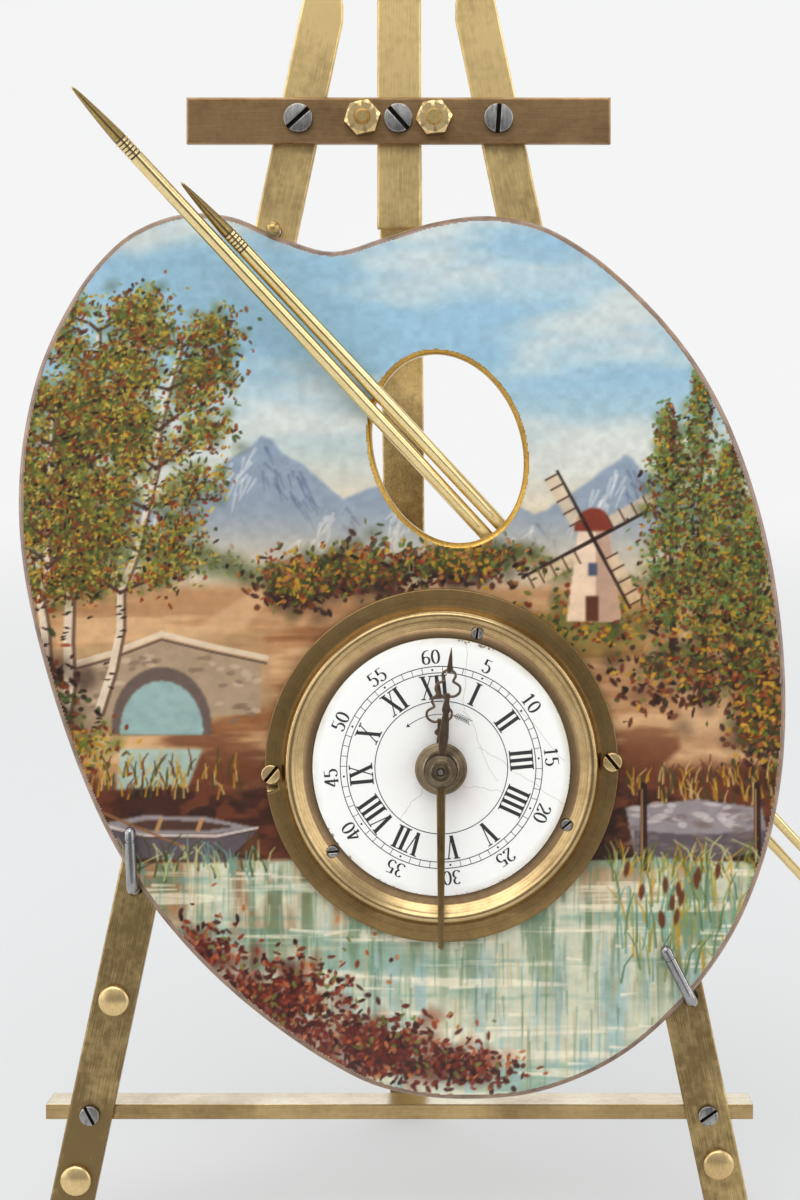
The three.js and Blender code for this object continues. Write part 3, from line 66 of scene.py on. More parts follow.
joint = {j["name"]: j for j in frame["joints"]}
nodes = frame["nodes"]
TILT = Matrix.Rotation(math.radians(-LEAN), 4, "X")
dial_place = Vector(joint["minute_turn"]["pos_m"])
easel_origin = dial_place - TILT @ Vector((DIAL_X * MM, 0, DIAL_Z * MM))
EASEL = Matrix.Translation(easel_origin) @ TILT @ Matrix.Scale(MM, 4)
TO_EASEL = EASEL.inverted()


def polar(r, degrees):
    angle = math.radians(degrees)
    return r * math.cos(angle), r * math.sin(angle)


def srgb(red, green, blue):
    """A colour written as on a screen, 0 to 255, as the linear colour that shaders take."""
    shares = [v / 255 for v in (red, green, blue)]
    linear = [v / 12.92 if v <= 0.04045 else ((v + 0.055) / 1.055) ** 2.4 for v in shares]
    return (*linear, 1.0)


def node_points(name):
    """The vertices of a CAD node, in the easel's frame."""
    return [TO_EASEL @ v.co for v in nodes[name].data.vertices]


def node_middle(name):
    points = node_points(name)
    low = [min(p[i] for p in points) for i in range(3)]
    high = [max(p[i] for p in points) for i in range(3)]
    return Vector([(a + b) / 2 for a, b in zip(low, high)])


def added(name, data):
    """A new object in the scene."""
    made = bpy.data.objects.new(name, data)
    bpy.context.scene.collection.objects.link(made)
    return made


# Shapes: each is a list of points in the easel's frame and a list of faces
def wrapped_faces(sides, count):
    """Faces between neighbouring columns of points, each of count points, all the way round."""
    faces = []
    for i in range(sides):
        j = (i + 1) % sides
        for k in range(count - 1):
            faces.append((i * count + k, j * count + k, j * count + k + 1, i * count + k + 1))
    return faces


def loop_faces(rows, count):
    """Faces between neighbouring closed loops of count points each."""
    faces = []
    for k in range(rows - 1):
        for i in range(count):
            j = (i + 1) % count
            faces.append((k * count + i, k * count + j, (k + 1) * count + j, (k + 1) * count + i))
    return faces


def lathe(profile, x=0.0, z=0.0, sides=64):
    """Turns a profile of (radius, y) round a line along y."""
    points = []
    for i in range(sides):
        for r, y in profile:
            dx, dz = polar(r, 360 * i / sides)
            points.append((x + dx, y, z + dz))
    return points, wrapped_faces(sides, len(profile))


def on_dial_axis(profile, sides):
    return lathe(profile, DIAL_X, DIAL_Z, sides)


def pairs_from(first, second, pairs):
    """The pairs of numbers of a profile, counted from a place on it."""
    return [(first + a, second + b) for a, b in pairs]


def merge(*shapes):
    points, faces = [], []
    for some_points, some_faces in shapes:
        first = len(points)
        points += some_points
        faces += [tuple(first + i for i in face) for face in some_faces]
    return points, faces


def plate(loops, front, thickness, bevel, steps=3):
    """A flat plate from closed loops of (x, z), the first one its outline and the others its holes."""
    curve = bpy.data.curves.new("outline", "CURVE")
    curve.dimensions = "2D"
    curve.fill_mode = "BOTH"
    curve.extrude = thickness / 2 - bevel
    curve.bevel_depth = bevel
    curve.bevel_resolution = steps
    curve.offset = -bevel
    for loop in loops:
        spline = curve.splines.new("POLY")
        spline.points.add(len(loop) - 1)
        spline.use_cyclic_u = True
        for point, (x, z) in zip(spline.points, loop):
            point.co = (x, z, 0, 1)
    holder = added("outline", curve)
    mesh = bpy.data.meshes.new_from_object(holder.evaluated_get(bpy.context.evaluated_depsgraph_get()))
    middle = front + thickness / 2
    points = [(v.co.x, middle - v.co.z, v.co.y) for v in mesh.vertices]
    faces = [tuple(p.vertices) for p in mesh.polygons]
    bpy.data.objects.remove(holder)
    bpy.data.curves.remove(curve)
    bpy.data.meshes.remove(mesh)
    return points, faces


def sweep(path, radii, sides):
    """A round bar along a path of points, with a radius for each."""
    path = [Vector(p) for p in path]
    points, side = [], None
    for i, place in enumerate(path):
        ahead = (path[min(i + 1, len(path) - 1)] - path[max(i - 1, 0)]).normalized()
        if side is None:
            side = ahead.orthogonal().normalized()
        side = (side - ahead * side.dot(ahead)).normalized()
        up = ahead.cross(side)
        for k in range(sides):
            dx, dz = polar(radii[i], 360 * k / sides)
            points.append(tuple(place + side * dx + up * dz))
    ends = [tuple(range(sides)), tuple(range(len(points) - sides, len(points)))]
    return points, loop_faces(len(path), sides) + ends


def ellipse(x, z, a, b, turn, steps):
    loop = []
    for i in range(steps):
        dx, dz = polar(1, 360 * i / steps)
        across, along = polar(1, turn)
        loop.append((x + a * dx * across - b * dz * along, z + a * dx * along + b * dz * across))
    return loop


def circle(x, z, r, steps):
    return ellipse(x, z, r, r, 0, steps)


def shifted(shape, dx, dy, dz):
    points, faces = shape
    return [(x + dx, y + dy, z + dz) for x, y, z in points], faces


def spun(shape, degrees, x=0.0, z=0.0):
    """A shape turned about a line along y, clockwise as seen from the front for a positive angle."""
    turn = Matrix.Rotation(math.radians(degrees), 3, "Y")
    centre = Vector((x, 0, z))
    points, faces = shape
    return [tuple(turn @ (Vector(p) - centre) + centre) for p in points], faces


def add_piece(name, mesh, material, body="easel"):
    """A finished mesh as a piece of the visual model that rides on a body."""
    mesh.materials.append(material)
    piece = added(name, mesh)
    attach(piece, body)
    return piece


def make(name, shape, material, replaced=(), body="easel", sharp=35, doubles=1e-3):
    """A piece of the visual model from a shape, riding on a body and standing for CAD nodes."""
    points, faces = shape
    mesh = bpy.data.meshes.new(name)
    mesh.from_pydata(points, [], faces)
    work = bmesh.new()
    work.from_mesh(mesh)
    if doubles:
        bmesh.ops.remove_doubles(work, verts=work.verts, dist=doubles)
        bmesh.ops.recalc_face_normals(work, faces=work.faces)
    for face in work.faces:
        face.smooth = True
    work.to_mesh(mesh)
    work.free()
    mesh.transform(EASEL)
    mesh.set_sharp_from_angle(angle=math.radians(sharp))
    piece = add_piece(name, mesh, material, body)
    if replaced:
        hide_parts(*replaced)


# Materials
def feed(tree, made, inputs):
    """Gives a node its inputs, each a value or another node's output."""
    for key, value in inputs.items():
        if isinstance(value, bpy.types.NodeSocket):
            tree.links.new(value, made.inputs[key])
        else:
            made.inputs[key].default_value = value


def node(tree, kind, inputs=None, **settings):
    made = tree.nodes.new(kind)
    for key, value in settings.items():
        setattr(made, key, value)
    feed(tree, made, inputs or {})
    return made


def new_material(name):
    material = bpy.data.materials.new(name)
    material.use_nodes = True
    tree = material.node_tree
    return material, tree, tree.nodes["Principled BSDF"]


def noise(tree, vector, scale, detail, rough=0.55):
    inputs = {"Vector": vector, "Scale": scale, "Detail": detail, "Roughness": rough}
    return node(tree, "ShaderNodeTexNoise", inputs).outputs["Fac"]


def stretch(tree, value, low, high, to_low=0.0, to_high=1.0):
    inputs = {"Value": value, "From Min": low, "From Max": high, "To Min": to_low, "To Max": to_high}
    return node(tree, "ShaderNodeMapRange", inputs).outputs["Result"]


def math_node(tree, operation, first, second):
    return node(tree, "ShaderNodeMath", {0: first, 1: second}, operation=operation).outputs["Value"]


# Where a mix node keeps its two colours, and their mix among its outputs
FIRST_COLOUR, SECOND_COLOUR, MIXED_COLOUR = 6, 7, 2


def blend(tree, share, first, second):
    inputs = {0: share, FIRST_COLOUR: first, SECOND_COLOUR: second}
    return node(tree, "ShaderNodeMix", inputs, data_type="RGBA").outputs[MIXED_COLOUR]


def local_vector(tree, turn, cell):
    """Coordinates of a turned frame with its origin in the dial, counted in cells of that frame."""
    coordinates = node(tree, "ShaderNodeTexCoord").outputs["Object"]
    inputs = {"Vector": coordinates, "Location": dial_place, "Rotation": turn.to_euler(),
              "Scale": [size * MM for size in cell]}
    return coordinates, node(tree, "ShaderNodeMapping", inputs, vector_type="TEXTURE").outputs["Vector"]


def parts_of(tree, vector):
    return node(tree, "ShaderNodeSeparateXYZ", {"Vector": vector}).outputs


def length_of(tree, parts):
    """Length of a vector that has only these parts."""
    vector = node(tree, "ShaderNodeCombineXYZ", parts).outputs["Vector"]
    return node(tree, "ShaderNodeVectorMath", {0: vector}, operation="LENGTH").outputs["Value"]


def radius_vector(tree, vector):
    """A vector whose x is the distance from the frame's y axis and whose y is that along it."""
    parts = parts_of(tree, vector)
    length = length_of(tree, {"X": parts["X"], "Z": parts["Z"]})
    return node(tree, "ShaderNodeCombineXYZ", {"X": length, "Y": parts["Y"]}).outputs["Vector"]


def weighted(tree, first, second, share):
    """The first value by its share and the second one by the rest."""
    parts = [math_node(tree, "MULTIPLY", first, share), math_node(tree, "MULTIPLY", second, 1 - share)]
    return math_node(tree, "ADD", *parts)


UPRIGHT, LEVEL = 0.6, 0.95


def upward_share(tree):
    """1 on faces that look up, and 0 on upright ones."""
    normal = node(tree, "ShaderNodeNewGeometry").outputs["Normal"]
    return stretch(tree, parts_of(tree, normal)["Z"], UPRIGHT, LEVEL)


MID_HEIGHT = 0.15
FINE_SHARE, FINE_SCALE = 0.15, 14
MID_LOW, MID_HIGH = 0.3, 0.7
WORN_ROUGHER, WORN_SMOOTHER = 0.6, 0.4
RELIEF, EDGE_SAMPLES = 0.05, 6


def metal(name, light, dark, rough, cell, turn=TILT, rings=0.0, cloud=55.0, streak_share=0.45, bump=0.1,
          spread=0.16, wear=0.16, rise=0.0, top=None, edge=0.0):
    """Worn metal: brushed grain, or rings this far apart, and tarnish between a light and a dark tone.

    The tone gets lighter upwards by rise for each metre, painted light falling from above. Faces that look up
    take the colour top, where it is given, a painted reflection of the bright room above. Edges look rounded
    by the radius edge, in millimetres.
    """
    material, tree, shader = new_material(name)
    coordinates, vector = local_vector(tree, turn, cell)
    if rings:
        inputs = {0: radius_vector(tree, vector), 1: (1 / rings,) * 3}
        vector = node(tree, "ShaderNodeVectorMath", inputs, operation="MULTIPLY").outputs["Vector"]
    grain = noise(tree, vector, 1.0, 2.0)
    clouds = noise(tree, coordinates, cloud, 5.0, 0.6)
    fine = noise(tree, coordinates, cloud * FINE_SCALE, 2.0)
    tone = weighted(tree, fine, weighted(tree, grain, clouds, streak_share), FINE_SHARE)
    # Painted light: the tone gets lighter with height, by rise, as if lit from above
    height = parts_of(tree, coordinates)["Z"]
    lift = rise * MID_HEIGHT
    shade = math_node(tree, "ADD", tone, stretch(tree, height, 0.0, MID_HEIGHT * 2, -lift, lift))
    share = stretch(tree, shade, 0.5 - spread, 0.5 + spread)
    colour = blend(tree, share, dark, light)
    # Painted reflection: faces that look up take the paler colour top
    if top:
        colour = blend(tree, upward_share(tree), colour, blend(tree, share, light, top))
    rough_ends = (rough + WORN_ROUGHER * wear, rough - WORN_SMOOTHER * wear)
    roughness = stretch(tree, tone, MID_LOW, MID_HIGH, *rough_ends)
    relief = node(tree, "ShaderNodeBump", {"Height": grain, "Strength": bump, "Distance": RELIEF * MM})
    if edge:
        rounded = node(tree, "ShaderNodeBevel", {"Radius": edge * MM}, samples=EDGE_SAMPLES)
        feed(tree, relief, {"Normal": rounded.outputs["Normal"]})
    feed(tree, shader, {"Base Color": colour, "Roughness": roughness, "Metallic": 1.0,
                        "Normal": relief.outputs["Normal"]})
    return material


def leg_turn(side):
    return TILT @ Matrix.Rotation(math.radians(-side * LEG_SPLAY), 4, "Y")


# Cells of the grain in millimetres: long along a strip or a bar, or even
LENGTHWISE, CROSSWISE = (0.2, 0.2, 7), (7, 0.2, 0.2)
EVEN, FINE_EVEN, WHOLE = (0.5, 0.5, 0.5), (0.4, 0.4, 0.4), (1, 1, 1)
AGED_LIGHT, AGED_DARK = srgb(226, 197, 136), srgb(128, 107, 71)
STRIP_EDGE, BAR_STREAKS = 0.45, 0.25


def strip_metal(name, turn=TILT):
    """Brass of the easel's strips, paler towards their upper ends: painted light falling from above."""
    return metal(name, AGED_LIGHT, AGED_DARK, 0.34, LENGTHWISE, turn, cloud=42.0, streak_share=0.3,
                 spread=0.115, rise=0.7, edge=STRIP_EDGE)


aged_left = strip_metal("aged_brass_left_leg", leg_turn(-1))
aged_right = strip_metal("aged_brass_right_leg", leg_turn(1))
aged_strip = strip_metal("aged_brass_strip")
# The bar's upward faces are coloured pale, a painted reflection of the bright room above
aged_bar = metal("aged_brass_bar", srgb(184, 158, 111), srgb(138, 115, 76), 0.16, CROSSWISE,
                 streak_share=BAR_STREAKS, top=srgb(246, 236, 206), edge=STRIP_EDGE)
aged_small = metal("aged_brass_small", srgb(210, 184, 126), srgb(160, 132, 80), 0.3, FINE_EVEN)
dark_bar = metal("dark_brass_bar", srgb(170, 138, 98), srgb(106, 82, 56), 0.34, CROSSWISE,
                 streak_share=BAR_STREAKS, edge=STRIP_EDGE)
button_brass = metal("button_brass", srgb(232, 206, 152), srgb(186, 156, 104), 0.25, (0.15, 0.15, 5))
bezel_brass = metal("bezel_brass", srgb(160, 132, 86), srgb(100, 78, 48), 0.3, WHOLE, rings=0.22)
# The bead takes a paler copy of the bezel's brass, a painted highlight on the raised bead
bead_highlight_brass = metal("bezel_bead_brass", srgb(212, 184, 134), srgb(134, 108, 70), 0.22, WHOLE, rings=0.3)
inner_brass = metal("bezel_inner_brass", srgb(166, 138, 102), srgb(108, 84, 60), 0.3, WHOLE, rings=0.2)
drum_brass = metal("drum_brass", srgb(206, 180, 124), srgb(150, 124, 78), 0.34, (30, 0.5, 30))
gilt = metal("gilding", srgb(206, 168, 88), srgb(150, 112, 48), 0.34, EVEN, cloud=160.0)
bright_brass = metal("bright_brass", srgb(232, 204, 134), srgb(196, 160, 90), 0.2, EVEN)
brush_brass = metal("brush_brass", srgb(236, 216, 164), srgb(204, 178, 118), 0.13, EVEN, cloud=18.0, bump=0.0,
                    wear=0.06)
point_brass = metal("brush_point_brass", srgb(186, 162, 106), srgb(128, 104, 62), 0.2, EVEN, cloud=40.0,
                    bump=0.0)
steel = metal("aged_steel", srgb(188, 186, 182), srgb(92, 88, 86), 0.28, (0.3, 0.3, 2.5), cloud=260.0)
hook_steel = metal("hook_steel", srgb(176, 175, 174), srgb(120, 118, 118), 0.16, (0.2, 0.2, 4))
bronze = metal("hand_bronze", srgb(128, 110, 92), srgb(70, 56, 46), 0.32, (0.4, 0.4, 1.2), cloud=300.0)
hub_bronze = metal("hub_bronze", srgb(134, 118, 94), srgb(62, 53, 42), 0.3, WHOLE, rings=0.3, spread=0.1)
alarm_bronze = metal("alarm_bronze", srgb(140, 116, 78), srgb(84, 66, 42), 0.34, (0.3, 0.3, 4))
slot_dark = metal("slot_shadow", srgb(46, 40, 34), srgb(24, 20, 18), 0.6, FINE_EVEN)

# CAD nodes that stay in view, with their finishes
KEPT = {
    aged_left: ["left_leg"],
    aged_right: ["right_leg"],
    aged_strip: ["mast", "rear_leg"],
    aged_bar: ["bottom_crossbar"],
    dark_bar: ["top_crossbar"],
    aged_small: ["hook_nut_left", "hook_nut_right"],
    steel: ["hinge_pin", "centre_arbor", "cannon_pinion", "barrel_arbor", "alarm_arbor", "hammer"],
    bright_brass: [
        "pillar_plate", "back_plate", "escapement_platform", "balance_cock", "bell", "centre_wheel",
        "minute_wheel", "hour_wheel", "mainspring_barrel", "third_wheel", "alarm_barrel", "balance_wheel",
    ],
}
for material, names in KEPT.items():
    for name in names:
        nodes[name].data.materials.clear()
        nodes[name].data.materials.append(material)


# The hinge's bracket, whose foot is kept behind the top bar as the camera sees it
BRACKET_LIFT = 2.2
bar_low = min(p.z for p in node_points("top_crossbar"))
bracket_points = [(p.x, p.y, max(p.z, bar_low + BRACKET_LIFT)) for p in node_points("hinge_bracket")]
bracket_faces = [tuple(face.vertices) for face in nodes["hinge_bracket"].data.polygons]
bracket_shape = (bracket_points, bracket_faces)
make("hinge_bracket_block", bracket_shape, aged_small, ["hinge_bracket"], sharp=30)


# Fasteners of the easel
def half_disc(r, gap, side, steps=20):
    """The part of a disc on one side of a slot, as a loop of (x, z) with the slot along x."""
    start = math.degrees(math.asin(gap / 2 / r))
    return [polar(r, side * (start + (180 - 2 * start) * i / steps)) for i in range(steps + 1)]


SLOT_FLOOR, FLOOR_INSET, HEAD_BEVEL = 0.4, 0.02, 0.3


def slotted_head(x, seat, z, head, slot_angle):
    """A slotted cheese head standing on a face at y = seat: a floor under two half discs.

    head gives its radius, its height and the width of its slot.
    """
    r, height, gap = head
    floor_front, floor_r = seat - height * SLOT_FLOOR, r - FLOOR_INSET
    floor = lathe([(0, floor_front), (floor_r, floor_front), (floor_r, seat)], sides=48)
    halves = [plate([half_disc(r, gap, side)], seat - height, height, HEAD_BEVEL) for side in (1, -1)]
    return [shifted(spun(part, -slot_angle), x, 0, z) for part in (floor, merge(*halves))]


def slotted_screw(name, node_name, head, slot_angle, seat, material):
    place = node_middle(node_name)
    floor, halves = slotted_head(place.x, seat, place.z, head, slot_angle)
    make(f"{name}_slot", floor, slot_dark, [node_name])
    make(name, halves, material, [node_name])


# Radius, height and slot width of each kind of screw head
BAR_HEAD, BASE_HEAD = (3.2, 1.7, 0.85), (2.2, 1.1, 0.55)
BEZEL_HEAD, DIAL_HEAD = (2.1, 1.5, 0.6), (1.3, 0.7, 0.32)
BAR_SEAT = BAR_FRONT - SEAT + 0.02
for side, angle in (("left", 42), ("centre", 132), ("right", 86)):
    slotted_screw(f"bar_screw_{side}", f"crossbar_screw_{side}", BAR_HEAD, angle, BAR_SEAT, steel)
for side, angle in (("left", 118), ("right", 35)):
    slotted_screw(f"base_screw_{side}", f"bottom_screw_{side}", BASE_HEAD, angle, -SEAT, steel)


def domed(r, front, back, rise, steps=8):
    """Profile of a disc with a low dome in front and a rounded edge, from its middle outwards."""
    profile = []
    for i in range(steps + 1):
        share = i / steps
        profile.append((r * 0.93 * share, front + rise * share * share))
    profile += [(r * 0.985, front + rise * 1.35), (r, front + rise * 1.8), (r, back)]
    return profile


BUTTON_R, BUTTON_DOME, BUTTON_RISE = 3.4, 1.6, 0.55
for name in ("leg_button_left_upper", "leg_button_left_lower", "leg_button_right"):
    place = node_middle(name)
    shape = lathe(domed(BUTTON_R, -SEAT - BUTTON_DOME, 0.0, BUTTON_RISE), place.x, place.z)
    make(f"{name}_dome", shape, button_brass, [name], sharp=50)

NUT_FLATS, NUT_T, STUD_R = 7.1, 3.2, 1.45
NUT_FACE_R, NUT_BORE = NUT_FLATS * 0.45, STUD_R + 0.1
CORNER_FALL, FLAT_FALL = 0.75, 0.12
nut_front = BAR_FRONT - SEAT - NUT_T


def hex_nut(x, z, turn, steps=72):
    """A hexagon nut with a chamfered front: six flats whose corners fall back to a round face."""
    points = []
    flat, corner = NUT_FLATS / 2, NUT_FLATS / math.sqrt(3)
    bore = pairs_from(NUT_BORE, nut_front, [(0, 1.2), (0, 0.25), (0.25, 0)])
    for i in range(steps):
        degrees = 360 * i / steps
        rim = flat / math.cos(math.radians(degrees % 60 - 30))
        drop = (rim - flat) / (corner - flat) * CORNER_FALL + FLAT_FALL
        dx, dz = polar(1, degrees + turn)
        rows = bore + [(NUT_FACE_R, nut_front), (rim, nut_front + drop), (rim, BAR_SEAT)]
        points += [(x + r * dx, y, z + r * dz) for r, y in rows]
    return points, wrapped_faces(steps, len(rows))


# Each nut's turn, and how far its stud stands out
for side, turn, tip in (("left", 12, 0.9), ("right", 6, 0.25)):
    place = node_middle(f"hex_nut_{side}")
    make(f"nut_{side}", hex_nut(place.x, place.z, turn), button_brass,
         [f"hex_nut_{side}"], sharp=20)
    stud = [(0, -tip), (0.5, -tip * 0.95), (0.85, -tip * 0.7), (1.05, -tip * 0.2)]
    stud += [(1.1, 0.7), (STUD_R, 0.8), (STUD_R, 1.5)]
    stud_shape = lathe(pairs_from(0, nut_front, stud), place.x, place.z, 40)
    make(f"stud_tip_{side}", stud_shape, aged_small)

BALL_R, BALL_PIN_R, BALL_PIN_BACK = 1.6, 0.8, 2.5
ball = node_middle("ball_pin")
ball_y = PALETTE_FRONT - SEAT - BALL_R
ball_profile = []
for degrees in range(0, 151, 10):
    ahead, out = polar(BALL_R, degrees)
    ball_profile.append((out, ball_y - ahead))
ball_profile += [(BALL_PIN_R, ball_y + 1.5), (BALL_PIN_R, BALL_PIN_BACK)]
make("ball_pin_head", lathe(ball_profile, ball.x, ball.z, 40), aged_small, ["ball_pin"])

# Swivelling hooks: a bent bar with a domed end and a groove near it
HOOK_R, HOOK_BEND, HOOK_FINGER, HOOK_SHOULDER = 1.25, 2.0, 13.0, 12.7
BEND_STEPS = 9
finger_y = PALETTE_FRONT - SEAT - HOOK_R
stem_rows = (5.4, 3.0, 0.0, -2.0, -4.0, finger_y + HOOK_BEND)
# Distances along the finger and the shares of the hook's radius there
finger_rows = [(HOOK_BEND, 1), (9.0, 1), (10.75, 1), (10.85, 0.86), (11.25, 0.86), (11.35, 1),
               (HOOK_SHOULDER, 1)]
for degrees in range(15, 86, 14):
    width, rise = polar(1, degrees)
    finger_rows.append((HOOK_SHOULDER + (HOOK_FINGER + HOOK_R - HOOK_SHOULDER) * rise, width))
for side in ("left", "right"):
    pivot = TO_EASEL @ Vector(joint[f"{side}_hook_swivel"]["pos_m"])
    far = [p - pivot for p in node_points(f"palette_hook_{side}") if p.y < finger_y + 0.8]
    finger = sum(far, Vector()) / len(far)
    finger = Vector((finger.x, 0, finger.z)).normalized()
    path = [(pivot.x, y, pivot.z) for y in stem_rows]
    for i in range(1, BEND_STEPS):
        across, along = polar(1, 90 * i / BEND_STEPS)
        back, out = HOOK_BEND * (1 - along), HOOK_BEND * (1 - across)
        path.append((pivot.x + finger.x * out, finger_y + back, pivot.z + finger.z * out))
    radii = [HOOK_R] * len(path)
    for along, share in finger_rows:
        path.append((pivot.x + finger.x * along, finger_y, pivot.z + finger.z * along))
        radii.append(HOOK_R * share)
    make(f"hook_{side}", sweep(path, radii, 28), hook_steel, [f"palette_hook_{side}"],
         f"{side}_hook", sharp=25)

# Brushes: slender brass rods with ringed ferrules, and darker pointed ends
BRUSH_R, BRUSH_TAIL, BRUSH_POINT = 1.52, 138.0, 15.0
RING_COUNT, RING_STEP, RING_R, GROOVE_R, NECK_R = 5, 0.9, 1.54, 1.38, 1.2


def rod_profile(neck):
    """(distance along the brush, radius) from its tail, at minus BRUSH_TAIL, to the neck of its point."""
    first_ring = neck - RING_COUNT * RING_STEP
    rows = [(-BRUSH_TAIL, 0.0), (-BRUSH_TAIL + 0.2, 0.7), (-BRUSH_TAIL + 1, 1.0), (-BRUSH_TAIL * 0.55, 1.45),
            (-BRUSH_TAIL * 0.2, BRUSH_R), (neck * 0.5, BRUSH_R), (first_ring - 0.1, BRUSH_R),
            (first_ring, NECK_R)]
    ring = [(0.26, NECK_R), (0.3, RING_R), (0.86, RING_R), (RING_STEP, NECK_R)]
    for i in range(RING_COUNT):
        rows += pairs_from(first_ring + i * RING_STEP, 0, ring)
    return rows + [(neck + 0.3, NECK_R)]


def point_profile(neck, reach):
    """The same for the point."""
    taper = [(0.3, 1.0), (0.38, 1.46), (1.2, 1.42), (5, 1.2), (9, 0.9), (12.5, 0.58)]
    return pairs_from(neck, 0, taper) + pairs_from(reach, 0, [(-0.6, 0.34), (-0.15, 0.2), (0, 0)])


for size in ("long", "short"):
    axis = (TO_EASEL.to_3x3() @ Vector(joint[f"brush_{size}_draw"]["axis"])).normalized()
    along = sorted(node_points(f"brush_{size}"), key=axis.dot)
    tip, tail = along[-1], along[0]
    reach = (tip - tail).length - BRUSH_TAIL
    neck = reach - BRUSH_POINT
    # Painted shade: a dark bronze sleeve fills the grooves between the ferrule's rings
    grooves = [(neck - RING_COUNT * RING_STEP + 0.02, GROOVE_R), (neck + 0.36, GROOVE_R)]
    parts = {"rod": (rod_profile(neck), brush_brass), "grooves": (grooves, bronze),
             "point": (point_profile(neck, reach), point_brass)}
    for part, (profile, material) in parts.items():
        path, radii = zip(*[(tip + axis * (d - reach), r) for d, r in profile])
        make(f"brush_{size}_{part}", sweep(path, radii, 32), material, [f"brush_{size}"],
             f"{size}_brush", sharp=40)


# Palette: the outline comes from the CAD node's edge, smoothed between its corners
def smooth_loop(corners, steps):
    """A closed smooth curve through the corners, with this many points between each pair."""
    count = len(corners)
    loop = []
    for i in range(count):
        a, b, c, d = (Vector(corners[(i + k) % count]) for k in (-1, 0, 1, 2))
        for s in range(steps):
            t = s / steps
            place = 0.5 * (2 * b + (c - a) * t + (2 * a - 5 * b + 4 * c - d) * t ** 2
                           + (3 * b - a - 3 * c + d) * t ** 3)
            loop.append((place.x, place.y))
    return loop


def offset_loop(loop, inwards):
    """A loop that runs anticlockwise, moved inwards by a distance."""
    count = len(loop)
    moved = []
    for i, (x, z) in enumerate(loop):
        ahead = Vector(loop[(i + 1) % count]) - Vector(loop[i - 1])
        normal = Vector((-ahead.y, ahead.x)).normalized()
        moved.append((x + normal.x * inwards, z + normal.y * inwards))
    return moved


CLEAR_OF_THUMB, CLEAR_OF_DIAL, PALETTE_MIDDLE_Z = 28, 40, 130


def palette_corners():
    """The corners of the palette's outline, anticlockwise as seen from the front."""
    edge_y = PALETTE_FRONT + PALETTE_ROUND
    kept = {}
    for p in node_points("palette"):
        off_thumb = math.hypot(p.x - THUMB_X, p.z - THUMB_Z)
        off_dial = math.hypot(p.x - DIAL_X, p.z - DIAL_Z)
        if abs(p.y - edge_y) < 0.05 and off_thumb > CLEAR_OF_THUMB and off_dial > CLEAR_OF_DIAL:
            kept[(round(p.x, 1), round(p.z, 1))] = (p.x, p.z)
    return sorted(kept.values(), key=lambda c: math.atan2(c[1] - PALETTE_MIDDLE_Z, c[0]))


outline = smooth_loop(palette_corners(), 6)
thumb = ellipse(THUMB_X, THUMB_Z, THUMB_SHORT, THUMB_LONG, THUMB_TURN, 120)
drum_hole = circle(DIAL_X, DIAL_Z, DRUM_R + SEAT, 96)

BAND_NEAR, BAND_LIFT = 0.06, 0.05


def edge_band(loop, far, steps=8):
    """A thin band on the rounded edge along a loop, from near it to a distance into the plate."""
    points = []
    for k in range(steps + 1):
        inwards = BAND_NEAR + (far - BAND_NEAR) * k / steps
        fall = max(PALETTE_ROUND - inwards, 0.0)
        y = PALETTE_FRONT + PALETTE_ROUND - math.sqrt(PALETTE_ROUND ** 2 - fall ** 2) - BAND_LIFT
        points += [(x, y, z) for x, z in offset_loop(loop, inwards - BAND_LIFT)]
    return points, loop_faces(steps + 1, len(loop))


GLAZE_LOW, GLAZE_HIGH, DULLER, COAT_ROUGH = 0.3, 0.7, 0.08, 0.08


def glaze(name, light, dark, rough, scale):
    """Glazed colour: cloudy between two tones, glossy under a clear coat."""
    material, tree, shader = new_material(name)
    coordinates = node(tree, "ShaderNodeTexCoord").outputs["Object"]
    tone = noise(tree, coordinates, scale, 5.0, 0.6)
    share = stretch(tree, tone, GLAZE_LOW, GLAZE_HIGH)
    dulled = stretch(tree, tone, GLAZE_LOW, GLAZE_HIGH, rough + DULLER, rough)
    feed(tree, shader, {"Base Color": blend(tree, share, dark, light), "Roughness": dulled,
                        "Coat Weight": 0.4, "Coat Roughness": COAT_ROUGH})
    return material


porcelain = glaze("porcelain_glaze", srgb(238, 233, 224), srgb(226, 218, 206), 0.22, 60.0)
rim_brown = glaze("rim_line", srgb(156, 126, 100), srgb(96, 74, 60), 0.28, 220.0)
palette_shape = plate([outline, thumb, drum_hole], PALETTE_FRONT, PALETTE_T, PALETTE_ROUND, 6)
make("palette_body", palette_shape, porcelain, ["palette"], sharp=60)
make("palette_rim_line", edge_band(outline, 1.25), rim_brown, sharp=60)
make("thumb_hole_gilding", edge_band(thumb[::-1], 1.35), gilt, sharp=60)

# Bezel: a flange with notches at its two screws, a raised bead and an inner ring
FLANGE_BEVEL, FLANGE_STEPS = 0.35, 720
LEFT_SCREW_ANGLE, RIGHT_SCREW_ANGLE = 182.8, 1.3
NOTCH_DEPTH, NOTCH_HALF, NOTCH_RUN = 2.6, 1.25, 4.0


def flange_loop():
    """Outline of the flange: a circle with a slot at the right screw and a longer one at the left screw."""
    loop = []
    run, half = (math.degrees(d / FLANGE_R) for d in (NOTCH_RUN, NOTCH_HALF))
    left, right = LEFT_SCREW_ANGLE, RIGHT_SCREW_ANGLE
    gaps = [(right - half, right + half), (left - half, left + run)]
    for i in range(FLANGE_STEPS):
        degrees = 360 * i / FLANGE_STEPS
        cut = any(low < degrees - shift < high for low, high in gaps for shift in (0, 360))
        loop.append(polar(FLANGE_R - NOTCH_DEPTH if cut else FLANGE_R, degrees))
    return pairs_from(DIAL_X, DIAL_Z, loop)


